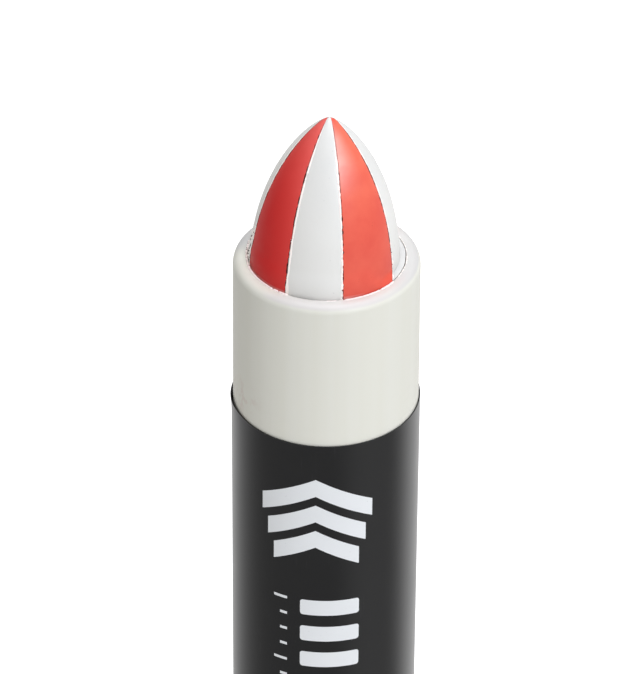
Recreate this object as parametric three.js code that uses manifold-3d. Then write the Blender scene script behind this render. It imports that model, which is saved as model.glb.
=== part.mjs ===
// Twist-up solid paint marker, uncapped, with a striped two-colour paint stick.
// Units are millimetres and +Z points from the knob to the tip. The marker stands on its knob, with the
// origin at the centre of its foot. Angles about Z are measured from the front, -Y, towards +X.

import * as THREE from "three";
import { mergeVertices } from "three/addons/utils/BufferGeometryUtils.js";
import Module from "manifold-3d";

const wasm = await Module();
wasm.setup();

// Barrel: one moulding, whose bare top is the collar that a cap fits over
const BARREL_RADIUS = 9.35;
const BARREL_LENGTH = 105.7;
const BARREL_WALL = 1.48;
const COLLAR_DRAFT = 0.05;
const RIM_OUTER_FILLET = 0.9;
const RIM_INNER_FILLET = 0.25;
const COLLAR_LENGTH = 16.6;
const SOCKET_WALL = 0.85;
const SOCKET_DEPTH = 8.7;
const SNAP_GROOVE_DEPTH = 0.3;
const LEAD_IN = 0.35;

// Guide grooves in the bore, which keep the carrier from turning
const GUIDE_COUNT = 4;
const GUIDE_WIDTH = 2.4;
const GUIDE_SIDE_PLAY = 0.2;
const GUIDE_RADIAL_PLAY = 0.2;
const GUIDE_END_PLAY = 0.4;

// Printed film label, wrapped once round the barrel with a lapped seam at the back
const LABEL_FILM = 0.12;
const LABEL_GAP = 0.03;
const LABEL_LAP = 3.2;
const LABEL_RAMP = 1.2;
const LABEL_FOOT = 2.4;

// Twist knob
const KNOB_HEIGHT = 12;
const KNOB_PROUD = 0.33;
const KNOB_FILLET = 0.8;
const KNOB_FLOOR = 2.4;
const FOOT_RING_WIDTH = 3.48;
const FOOT_RECESS_DEPTH = 0.6;
const GRIP_GROOVE_COUNT = 24;
const GRIP_GROOVE_DEPTH = 0.35;
const GRIP_GROOVE_ANGLE = 6.8;
const GRIP_FLOOR_ANGLE = 4.5;
const GRIP_MARGIN = 1.5;
const NECK_PLAY = 0.2;
const NECK_WALL = 1.7;
const NECK_TOP_PLAY = 0.7;
const SNAP_BEAD_HEIGHT = 0.3;
const SNAP_BEAD_WIDTH = 1.6;
const SNAP_BEAD_RISE = 2.2;
const SNAP_AXIAL_PLAY = 0.3;
const BOSS_RADIUS = 3.6;
const BOSS_DROP = 3.8;
const BOSS_WEB_COUNT = 4;
const BOSS_WEB_THICKNESS = 0.9;
const BOSS_WEB_DROP = 1.2;

// Seal ring in the knob's neck
const SEAL_SECTION_RADIUS = 0.42;
const SEAL_BORE_PLAY = 0.1;
const SEAL_SEAT_PLAY = 0.06;
const SEAL_DROP = 1.9;

// Lead screw: a coarse two-start thread, left-handed, so that turning the knob clockwise feeds the stick out
const THREAD_STARTS = 2;
const THREAD_LEAD = 8;
const THREAD_CREST_RADIUS = 3.6;
const THREAD_ROOT_RADIUS = 2.4;
const THREAD_CREST_HALF_ANGLE = 20;
const THREAD_FLANK_ANGLE = 30;
const THREAD_PLAY = 0.25;
const THREAD_SIDE_PLAY_ANGLE = 8;
const THREAD_STEPS_PER_TURN = 12;
const SCREW_NOSE = 1.2;
const TANG_FLAT_RADIUS = 2;
const TANG_LENGTH = 10.5;
const TANG_PLAY = 0.06;
const FLANGE_RADIUS = 4.4;
const FLANGE_THICKNESS = 1.6;

// Carrier: a cup that grips the foot of the stick, on a long hollow stem with the nut at its end
const CUP_HEIGHT = 8;
const CUP_PLAY = 0.17;
const CUP_WALL = 0.7;
const CUP_FLOOR = 1.2;
const CUP_RIB_COUNT = 8;
const CUP_RIB_HEIGHT = 0.3;
const CUP_RIB_WIDTH = 0.8;
const STEM_WALL = 0.75;
const STEM_BORE_PLAY = 0.35;
const STEM_TOP_ROOM = 1;
const NUT_LENGTH = 7;
const NUT_FOOT_PLAY = 0.5;
const GUSSET_HEIGHT = 7;
const GUSSET_THICKNESS = 1;

// Paint stick: eight wedges, white and red in turn, pressed together into one stick by hand, so that
// their angles differ and their seams meet a little beside the axis
const STICK_PLAY = 0.32;
const STICK_OUT = 16.27;
const OGIVE_LENGTH = 20.36;
const OGIVE_FULLNESS = 2.57;
const OGIVE_BLUNTNESS = 0.794;
const OGIVE_CROWDING = 1.5;
const TIP_FLAT_RADIUS = 0.4;
const SEAM_WIDTH = 0.08;
const SEAMS_MEET_X = 0.08;
const SEAMS_MEET_Y = 0.44;
const SEAM_ANGLES = [-29, 12.8, 60.8, 118, 154, 194, 240, 286];
const FOOT_PLAY = 0.05;

// Feed: how far the stick goes down and up from where it is shown
const RETRACT_TRAVEL = 17;
const ADVANCE_TRAVEL = 22;

// Fits and facets
const SEAT_GAP = 0.05;
const KNOB_GAP = 0.3;
const ROUND_STEPS = 48;
const FINE_STEPS = 24;
const FILLET_STEPS = 3;
const SEAL_SIDES = 8;
const OGIVE_STEPS = 11;
const MERGE_DISTANCE = 1e-4;
const CUT_OVERRUN = 1;

// Radii that follow from the barrel's
const rimRadius = BARREL_RADIUS - COLLAR_DRAFT;
const mouthRadius = BARREL_RADIUS - BARREL_WALL;
const socketRadius = BARREL_RADIUS - SOCKET_WALL;
const knobRadius = BARREL_RADIUS + KNOB_PROUD;
const footRecessRadius = knobRadius - FOOT_RING_WIDTH;
const neckRadius = socketRadius - NECK_PLAY;
const sealRadius = socketRadius - SEAL_BORE_PLAY - SEAL_SECTION_RADIUS;
const stickRadius = mouthRadius - STICK_PLAY;
const cupRadius = mouthRadius - CUP_PLAY;
const cupInnerRadius = cupRadius - CUP_WALL;
const stickFootRadius = cupInnerRadius - CUP_RIB_HEIGHT - FOOT_PLAY;
const stemBoreRadius = THREAD_CREST_RADIUS + STEM_BORE_PLAY;
const stemRadius = stemBoreRadius + STEM_WALL;

// Heights that follow from the sizes above
const barrelFoot = KNOB_HEIGHT + KNOB_GAP;
const rim = barrelFoot + BARREL_LENGTH;
const labelTop = rim - COLLAR_LENGTH;
const labelFoot = barrelFoot + LABEL_FOOT;
const socketTop = barrelFoot + SOCKET_DEPTH;
const neckTop = socketTop - NECK_TOP_PLAY;
const snapMiddle = barrelFoot + SNAP_BEAD_RISE;
const sealMiddle = neckTop - SEAL_DROP;
const bossTop = neckTop - BOSS_DROP;
const flangeTop = bossTop + SEAT_GAP + FLANGE_THICKNESS;
const travel = RETRACT_TRAVEL + ADVANCE_TRAVEL;
const nutFootRetracted = flangeTop + NUT_FOOT_PLAY;
const screwTop = nutFootRetracted + travel + NUT_LENGTH;
const stemLength = travel + NUT_LENGTH + SCREW_NOSE + STEM_TOP_ROOM;
const cupUnderside = nutFootRetracted + stemLength + RETRACT_TRAVEL;
const cupRim = cupUnderside + CUP_HEIGHT;
const nutFoot = cupUnderside - stemLength;
const tip = rim + STICK_OUT;

const turn = (degrees) => THREE.MathUtils.degToRad(degrees);

// A closed geometry as a solid that can be cut and joined.
function solidOf(geometry) {
  const bare = geometry.index ? geometry.toNonIndexed() : geometry.clone();
  bare.deleteAttribute("normal");
  bare.deleteAttribute("uv");
  const merged = mergeVertices(bare, MERGE_DISTANCE);
  return new wasm.Manifold(
    new wasm.Mesh({
      numProp: 3,
      vertProperties: merged.attributes.position.array,
      triVerts: new Uint32Array(merged.index.array),
    }),
  );
}

// A solid back as a geometry for a mesh.
function geometryOf(solid) {
  const { vertProperties, triVerts } = solid.getMesh();
  const geometry = new THREE.BufferGeometry();
  geometry.setAttribute("position", new THREE.BufferAttribute(vertProperties, 3));
  geometry.setIndex(new THREE.BufferAttribute(triVerts, 1));
  geometry.computeVertexNormals();
  return geometry;
}

// A turned solid about Z from [radius, height] pairs that run anticlockwise, with the axis on the left.
function turned(profile, steps = ROUND_STEPS) {
  const points = profile.map(([radius, height]) => new THREE.Vector2(radius, height));
  return solidOf(new THREE.LatheGeometry(points, steps).rotateX(Math.PI / 2));
}

// A ring of any closed profile: the first point is repeated at the end.
const turnedRing = (profile, steps) => turned([...profile, profile[0]], steps);

// A straight prism along Z from [x, y] pairs.
function prism(outline, foot, height) {
  const shape = new THREE.Shape(outline.map(([x, y]) => new THREE.Vector2(x, y)));
  const geometry = new THREE.ExtrudeGeometry(shape, { depth: height, bevelEnabled: false });
  return solidOf(geometry.translate(0, 0, foot));
}

// A box centred on the front radius, from one radius to another, turned to an angle about Z.
function radialBox(inner, outer, width, foot, top, angle) {
  const geometry = new THREE.BoxGeometry(width, outer - inner, top - foot);
  geometry.translate(0, -(inner + outer) / 2, (foot + top) / 2);
  return solidOf(geometry.rotateZ(turn(angle)));
}

// A point at an angle from the front.
const polar = (radius, angle) => [radius * Math.sin(turn(angle)), -radius * Math.cos(turn(angle))];

// A quarter of a circle as [radius, height] pairs, between two directions given in degrees from +R.
function fillet(centreRadius, centreHeight, radius, from, to) {
  return Array.from({ length: FILLET_STEPS + 1 }, (_, i) => {
    const angle = turn(from + ((to - from) * i) / FILLET_STEPS);
    return [centreRadius + radius * Math.cos(angle), centreHeight + radius * Math.sin(angle)];
  });
}

// Several solids as one.
const joined = (...solids) => solids.reduce((sum, solid) => sum.add(solid));

// Copies of a solid made at equal angles, joined.
const around = (count, make, start = 0) =>
  joined(...Array.from({ length: count }, (_, i) => make(start + (360 * i) / count)));

// The thread's cross-section at height zero: one lobe for each start.
function threadSection(play = 0, sidePlay = 0) {
  const crest = THREAD_CREST_HALF_ANGLE + sidePlay;
  const flankEnd = crest + THREAD_FLANK_ANGLE;
  const crestRadius = THREAD_CREST_RADIUS + play;
  const rootRadius = THREAD_ROOT_RADIUS + play;
  const pitchAngle = 360 / THREAD_STARTS;
  const rootMiddle = pitchAngle / 2;
  const rootStep = (rootMiddle - flankEnd) / 3;
  const lobe = [
    [-flankEnd, rootRadius],
    [-crest, crestRadius],
    [0, crestRadius],
    [crest, crestRadius],
    [flankEnd, rootRadius],
    [rootMiddle - rootStep, rootRadius],
    [rootMiddle + rootStep, rootRadius],
  ];
  return Array.from({ length: THREAD_STARTS }, (_, start) =>
    lobe.map(([angle, radius]) => ({ angle: angle + start * pitchAngle, radius })),
  ).flat();
}

// A rod whose section turns as it rises, one turn for each lead, left-handed.
function threadedRod(section, foot, top) {
  const rings = Math.ceil(((top - foot) / THREAD_LEAD) * THREAD_STEPS_PER_TURN);
  const size = section.length;
  const positions = [];
  const faces = [];
  for (let ring = 0; ring <= rings; ring += 1) {
    const height = foot + ((top - foot) * ring) / rings;
    const twist = (-360 * height) / THREAD_LEAD;
    section.forEach(({ angle, radius }) => {
      positions.push(...polar(radius, angle + twist), height);
    });
  }
  for (let ring = 0; ring < rings; ring += 1) {
    for (let i = 0; i < size; i += 1) {
      const low = ring * size + i;
      const lowNext = ring * size + ((i + 1) % size);
      faces.push(low, lowNext, lowNext + size, low, lowNext + size, low + size);
    }
  }
  const footCentre = positions.length / 3;
  positions.push(0, 0, foot, 0, 0, top);
  const lastRing = rings * size;
  for (let i = 0; i < size; i += 1) {
    const next = (i + 1) % size;
    faces.push(footCentre, next, i);
    faces.push(footCentre + 1, lastRing + i, lastRing + next);
  }
  const geometry = new THREE.BufferGeometry();
  geometry.setAttribute("position", new THREE.Float32BufferAttribute(positions, 3));
  geometry.setIndex(faces);
  return solidOf(geometry);
}

// Barrel, with its mouth, guide grooves and the socket that the knob snaps into
function barrel() {
  const snapHalf = SNAP_BEAD_WIDTH / 2 + SNAP_AXIAL_PLAY;
  const snapRadius = socketRadius + SNAP_GROOVE_DEPTH;
  const outerCentre = rimRadius - RIM_OUTER_FILLET;
  const innerCentre = mouthRadius + RIM_INNER_FILLET;
  const shell = turnedRing([
    [socketRadius + LEAD_IN, barrelFoot],
    [BARREL_RADIUS, barrelFoot],
    [BARREL_RADIUS, labelTop],
    ...fillet(outerCentre, rim - RIM_OUTER_FILLET, RIM_OUTER_FILLET, 0, 90),
    ...fillet(innerCentre, rim - RIM_INNER_FILLET, RIM_INNER_FILLET, 90, 180),
    [mouthRadius, socketTop],
    [socketRadius, socketTop],
    [socketRadius, snapMiddle + snapHalf],
    [snapRadius, snapMiddle + snapHalf - SNAP_GROOVE_DEPTH],
    [snapRadius, snapMiddle - snapHalf + SNAP_GROOVE_DEPTH],
    [socketRadius, snapMiddle - snapHalf],
    [socketRadius, barrelFoot + LEAD_IN],
  ]);
  const grooveTop = cupRim + ADVANCE_TRAVEL + GUIDE_END_PLAY;
  const groove = (angle) =>
    radialBox(mouthRadius - CUT_OVERRUN, socketRadius, GUIDE_WIDTH, socketTop, grooveTop, angle);
  return shell.subtract(around(GUIDE_COUNT, groove, 45));
}

// Film label: a strip wound once round the barrel, whose end climbs over its start at the back
function wrapLabel() {
  const inner = BARREL_RADIUS + LABEL_GAP;
  const degreesPerMillimetre = 180 / (Math.PI * inner);
  const lap = LABEL_LAP * degreesPerMillimetre;
  const ramp = LABEL_RAMP * degreesPerMillimetre;
  const step = 360 / ROUND_STEPS;
  const start = 180 - lap / 2;
  const lift = (angle) =>
    (LABEL_FILM + LABEL_GAP) * THREE.MathUtils.clamp((angle - start - 360 + ramp) / ramp, 0, 1);
  const angles = [start];
  for (let angle = Math.ceil(start / step) * step; angle < start + 360 - ramp; angle += step) {
    if (angle > start) angles.push(angle);
  }
  angles.push(start + 360 - ramp, start + 360);
  for (let angle = Math.ceil((start + 360) / step) * step; angle < start + 360 + lap; angle += step) {
    if (angle > start + 360) angles.push(angle);
  }
  angles.push(start + 360 + lap);
  const insideEdge = angles.map((angle) => polar(inner + lift(angle), angle));
  const outsideEdge = angles.map((angle) => polar(inner + lift(angle) + LABEL_FILM, angle));
  return prism([...outsideEdge, ...insideEdge.reverse()], labelFoot, labelTop - labelFoot);
}

// Twist knob: a ribbed grip, a neck that snaps into the barrel and a boss that drives the screw
function twistKnob() {
  const filletHeight = KNOB_HEIGHT - KNOB_FILLET / 2;
  const sealSeat = sealRadius - SEAL_SECTION_RADIUS - SEAL_SEAT_PLAY;
  const sealHalf = SEAL_SECTION_RADIUS + SEAL_SEAT_PLAY;
  const beadRadius = neckRadius + SNAP_BEAD_HEIGHT;
  const neckInner = neckRadius - NECK_WALL;
  const body = turned([
    [0, FOOT_RECESS_DEPTH],
    [footRecessRadius, FOOT_RECESS_DEPTH],
    [footRecessRadius, 0],
    ...fillet(knobRadius - KNOB_FILLET, KNOB_FILLET, KNOB_FILLET, -90, 0),
    ...fillet(knobRadius - KNOB_FILLET / 2, filletHeight, KNOB_FILLET / 2, 0, 90),
    [neckRadius, KNOB_HEIGHT],
    [neckRadius, snapMiddle - SNAP_BEAD_WIDTH / 2],
    [beadRadius, snapMiddle - SNAP_BEAD_WIDTH / 2 + SNAP_BEAD_HEIGHT],
    [beadRadius, snapMiddle],
    [neckRadius, snapMiddle + SNAP_BEAD_WIDTH / 2],
    [neckRadius, sealMiddle - sealHalf],
    [sealSeat, sealMiddle - sealHalf],
    [sealSeat, sealMiddle + sealHalf],
    [neckRadius, sealMiddle + sealHalf],
    [neckRadius, neckTop - LEAD_IN],
    [neckRadius - LEAD_IN, neckTop],
    [neckInner, neckTop],
    [neckInner, KNOB_FLOOR],
    [BOSS_RADIUS, KNOB_FLOOR],
    [BOSS_RADIUS, bossTop],
    [0, bossTop],
  ]);
  const floorHalf = GRIP_FLOOR_ANGLE / 2;
  const cutterHalf = GRIP_GROOVE_ANGLE - floorHalf;
  const groove = (angle) =>
    prism(
      [
        polar(knobRadius - GRIP_GROOVE_DEPTH, angle - floorHalf),
        polar(knobRadius + GRIP_GROOVE_DEPTH, angle - cutterHalf),
        polar(knobRadius + GRIP_GROOVE_DEPTH, angle + cutterHalf),
        polar(knobRadius - GRIP_GROOVE_DEPTH, angle + floorHalf),
      ],
      GRIP_MARGIN,
      KNOB_HEIGHT - 2 * GRIP_MARGIN,
    );
  const web = (angle) =>
    radialBox(
      BOSS_RADIUS - SEAT_GAP,
      neckInner + SEAT_GAP,
      BOSS_WEB_THICKNESS,
      KNOB_FLOOR - SEAT_GAP,
      bossTop - BOSS_WEB_DROP,
      angle,
    );
  const tangSocket = hexagon(
    TANG_FLAT_RADIUS + TANG_PLAY,
    bossTop - TANG_LENGTH - SEAT_GAP,
    bossTop + CUT_OVERRUN,
  );
  return body
    .subtract(around(GRIP_GROOVE_COUNT, groove, 180 / GRIP_GROOVE_COUNT))
    .add(around(BOSS_WEB_COUNT, web))
    .subtract(tangSocket);
}

// A hexagonal prism by the radius of its flats.
function hexagon(flatRadius, foot, top) {
  const corner = flatRadius / Math.cos(Math.PI / 6);
  return prism(
    Array.from({ length: 6 }, (_, i) => polar(corner, 60 * i)),
    foot,
    top - foot,
  );
}

// Seal ring: a turned ring of round section
function sealRing() {
  const section = Array.from({ length: SEAL_SIDES }, (_, i) => {
    const angle = turn((360 * i) / SEAL_SIDES);
    return [
      sealRadius + SEAL_SECTION_RADIUS * Math.cos(angle),
      sealMiddle + SEAL_SECTION_RADIUS * Math.sin(angle),
    ];
  });
  return turnedRing(section);
}

// Lead screw: hexagonal tang, thrust flange, thread and a tapered nose
function leadScrew() {
  const flangeFoot = flangeTop - FLANGE_THICKNESS;
  const tang = hexagon(TANG_FLAT_RADIUS, bossTop - TANG_LENGTH, flangeFoot + SEAT_GAP);
  const flange = turned(
    [
      [0, flangeFoot],
      [FLANGE_RADIUS, flangeFoot],
      [FLANGE_RADIUS, flangeTop],
      [0, flangeTop],
    ],
    FINE_STEPS,
  );
  const nose = turned(
    [
      [0, screwTop - SEAT_GAP],
      [THREAD_ROOT_RADIUS - SCREW_NOSE / 4, screwTop - SEAT_GAP],
      [THREAD_ROOT_RADIUS - SCREW_NOSE, screwTop + SCREW_NOSE],
      [0, screwTop + SCREW_NOSE],
    ],
    FINE_STEPS,
  );
  const thread = threadedRod(threadSection(), flangeTop - SEAT_GAP, screwTop);
  return joined(tang, flange, thread, nose);
}

// Carrier: ribbed cup, guide lugs, gussets, hollow stem and nut
function stickCarrier() {
  const cupFloor = cupUnderside + CUP_FLOOR;
  const nutTop = nutFoot + NUT_LENGTH;
  const nutBore = THREAD_ROOT_RADIUS + THREAD_PLAY;
  const body = turnedRing(
    [
      [nutBore, nutFoot],
      [stemRadius, nutFoot],
      [stemRadius, cupUnderside],
      [cupRadius - CUP_PLAY, cupUnderside],
      [cupRadius, cupUnderside + CUP_PLAY],
      [cupRadius, cupRim],
      [cupInnerRadius, cupRim],
      [cupInnerRadius, cupFloor],
      [stemBoreRadius, cupFloor],
      [stemBoreRadius, nutTop + stemBoreRadius - nutBore],
      [nutBore, nutTop],
    ],
    ROUND_STEPS,
  );
  const lug = (angle) =>
    radialBox(
      cupRadius - CUP_WALL / 2,
      socketRadius - GUIDE_RADIAL_PLAY,
      GUIDE_WIDTH - 2 * GUIDE_SIDE_PLAY,
      cupUnderside + CUP_PLAY,
      cupRim,
      angle,
    );
  const rib = (angle) =>
    radialBox(
      cupInnerRadius - CUP_RIB_HEIGHT,
      cupInnerRadius + CUP_WALL / 2,
      CUP_RIB_WIDTH,
      cupFloor - SEAT_GAP,
      cupRim - CUP_FLOOR,
      angle,
    );
  const gussetFoot = stemRadius - STEM_WALL / 2;
  const gusset = (angle) => {
    const outline = [
      [gussetFoot, cupUnderside - GUSSET_HEIGHT],
      [cupInnerRadius, cupUnderside - CUP_FLOOR],
      [cupInnerRadius, cupUnderside + SEAT_GAP],
      [gussetFoot, cupUnderside + SEAT_GAP],
    ];
    const shape = new THREE.Shape(outline.map(([x, y]) => new THREE.Vector2(x, y)));
    const geometry = new THREE.ExtrudeGeometry(shape, { depth: GUSSET_THICKNESS, bevelEnabled: false });
    geometry.translate(0, 0, -GUSSET_THICKNESS / 2).rotateX(Math.PI / 2);
    return solidOf(geometry.rotateZ(turn(angle)));
  };
  const tap = threadedRod(
    threadSection(THREAD_PLAY, THREAD_SIDE_PLAY_ANGLE),
    nutFoot - CUT_OVERRUN,
    nutTop + CUT_OVERRUN,
  );
  return joined(
    body.subtract(tap),
    around(GUIDE_COUNT, lug, 45),
    around(CUP_RIB_COUNT, rib, 180 / CUP_RIB_COUNT),
    around(GUIDE_COUNT, gusset),
  );
}

// The stick's radius at a distance below its tip.
function ogiveRadius(depth) {
  const share = Math.min(depth / OGIVE_LENGTH, 1);
  const swell = (1 - (1 - share) ** OGIVE_FULLNESS) ** OGIVE_BLUNTNESS;
  return Math.max(TIP_FLAT_RADIUS, stickRadius * swell);
}

// The whole stick, before it is parted into stripes
function wholeStick() {
  const footBottom = cupUnderside + CUP_FLOOR + SEAT_GAP;
  const shoulder = cupRim + SEAT_GAP;
  const nose = Array.from({ length: OGIVE_STEPS + 1 }, (_, i) => {
    const depth = OGIVE_LENGTH * (1 - i / OGIVE_STEPS) ** OGIVE_CROWDING;
    return [ogiveRadius(depth), tip - depth];
  });
  return turned([
    [0, footBottom],
    [stickFootRadius, footBottom],
    [stickFootRadius, shoulder],
    [stickRadius, shoulder],
    ...nose,
    [0, tip],
  ]);
}

// One stripe: the part of the stick between two of its seams, less half the width of each
function stripe(stick, first, last) {
  const half = (last - first) / 2;
  const centre = first + half;
  const reach = 2 * stickRadius;
  const [backX, backY] = polar(SEAM_WIDTH / 2 / Math.sin(turn(half)), centre);
  const apexX = SEAMS_MEET_X + backX;
  const apexY = SEAMS_MEET_Y + backY;
  const corner = (angle) => {
    const [x, y] = polar(reach, angle);
    return [apexX + x, apexY + y];
  };
  const sector = prism(
    [[apexX, apexY], corner(first), corner(centre), corner(last)],
    cupUnderside,
    tip - cupUnderside + CUT_OVERRUN,
  );
  return stick.intersect(sector);
}

const ivory = () => new THREE.MeshStandardMaterial({ color: 0xdfdfd8, roughness: 0.42, metalness: 0 });
const labelBlack = () => new THREE.MeshStandardMaterial({ color: 0x232323, roughness: 0.35, metalness: 0 });
const paintRed = () => new THREE.MeshStandardMaterial({ color: 0xd8382f, roughness: 0.5, metalness: 0 });
const paintWhite = () => new THREE.MeshStandardMaterial({ color: 0xe9eae8, roughness: 0.5, metalness: 0 });
const natural = () => new THREE.MeshStandardMaterial({ color: 0xe6e4da, roughness: 0.45, metalness: 0 });
const sealRubber = () => new THREE.MeshStandardMaterial({ color: 0x2b2b2b, roughness: 0.6, metalness: 0 });

const marker = new THREE.Group();

function place(name, solid, material) {
  const mesh = new THREE.Mesh(geometryOf(solid), material);
  mesh.name = name;
  marker.add(mesh);
}

place("barrel", barrel(), ivory());
place("wrap_label", wrapLabel(), labelBlack());
place("twist_knob", twistKnob(), ivory());
place("seal_ring", sealRing(), sealRubber());
place("lead_screw", leadScrew(), natural());
place("stick_carrier", stickCarrier(), natural());

const stick = wholeStick();
SEAM_ANGLES.forEach((first, i) => {
  const last = SEAM_ANGLES[i + 1] ?? SEAM_ANGLES[0] + 360;
  const pair = Math.floor(i / 2) + 1;
  const isWhite = i % 2 === 0;
  const name = isWhite ? `paint_wedge_white_${pair}` : `paint_wedge_red_${pair}`;
  place(name, stripe(stick, first, last), isWhite ? paintWhite() : paintRed());
});

export default marker;
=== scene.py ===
"""Blender scene of an uncapped twist-up paint marker with a striped stick.

Every length is in metres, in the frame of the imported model: +Z from the knob
to the tip, -Y the front. Angles about Z are measured from the front towards +X.
"""

import logging
import math
from dataclasses import dataclass, field, replace
from enum import Enum
from typing import Any, Iterable, Optional, Sequence, Union

import bmesh
import bpy
from mathutils import Matrix, Vector, noise


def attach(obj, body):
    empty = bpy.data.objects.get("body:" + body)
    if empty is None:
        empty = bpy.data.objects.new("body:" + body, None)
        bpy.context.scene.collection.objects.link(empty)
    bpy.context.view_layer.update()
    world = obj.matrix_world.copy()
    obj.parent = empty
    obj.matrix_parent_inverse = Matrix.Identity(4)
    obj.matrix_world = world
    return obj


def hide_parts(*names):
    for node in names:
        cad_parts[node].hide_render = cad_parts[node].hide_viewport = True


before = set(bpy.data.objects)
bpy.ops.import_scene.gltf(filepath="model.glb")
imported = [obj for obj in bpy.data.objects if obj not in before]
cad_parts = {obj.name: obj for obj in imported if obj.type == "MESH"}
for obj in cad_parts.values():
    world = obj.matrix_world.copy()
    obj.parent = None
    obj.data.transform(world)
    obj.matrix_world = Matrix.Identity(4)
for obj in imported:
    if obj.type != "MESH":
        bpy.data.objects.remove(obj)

LOG = logging.getLogger("paint_marker")
MM = 0.001
MERGE = 2e-7
FRONT = -math.pi / 2
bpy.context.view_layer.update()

BMesh = bmesh.types.BMesh
BMVert = bmesh.types.BMVert
BMFace = bmesh.types.BMFace
Colour = tuple[float, float, float]
Point = tuple[float, float]


# Shader maths and nodes


class Sock:
    """A shader socket, or the result of an expression on sockets."""

    def __init__(self, graph: "Graph", socket: Optional[bpy.types.NodeSocket]) -> None:
        """Keeps the socket and the graph that it is in."""
        self.graph = graph
        self.socket = socket

    def _math(self, operation: str, first: Any, second: Any = None) -> "Sock":
        """Adds one Math node."""
        values = {0: first} if second is None else {0: first, 1: second}
        return self.graph.node("ShaderNodeMath", {"operation": operation}, values)

    def __add__(self, other: Any) -> "Sock":
        """Sum."""
        return self._math("ADD", self, other)

    def __radd__(self, other: Any) -> "Sock":
        """Sum, with the value first."""
        return self._math("ADD", other, self)

    def __sub__(self, other: Any) -> "Sock":
        """Difference."""
        return self._math("SUBTRACT", self, other)

    def __rsub__(self, other: Any) -> "Sock":
        """Difference, with the value first."""
        return self._math("SUBTRACT", other, self)

    def __mul__(self, other: Any) -> "Sock":
        """Product."""
        return self._math("MULTIPLY", self, other)

    def __rmul__(self, other: Any) -> "Sock":
        """Product, with the value first."""
        return self._math("MULTIPLY", other, self)

    def size(self) -> "Sock":
        """The value without its sign."""
        return self._math("ABSOLUTE", self)

    def angle_to(self, other: Any) -> "Sock":
        """The angle whose tangent is this value over the other."""
        return self._math("ARCTAN2", self, other)

    def ramp(self, low: float, high: float, to_low: float = 0.0, to_high: float = 1.0) -> "Sock":
        """Maps low..high smoothly to to_low..to_high, and holds beyond both."""
        return self.graph.node(
            "ShaderNodeMapRange",
            {"interpolation_type": "SMOOTHSTEP"},
            {0: self, 1: low, 2: high, 3: to_low, 4: to_high},
        )

    def fade(self, low: float, high: float) -> "Sock":
        """1 up to low and 0 from high on, with a smooth ramp between."""
        return self.ramp(low, high, 1.0, 0.0)


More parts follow.
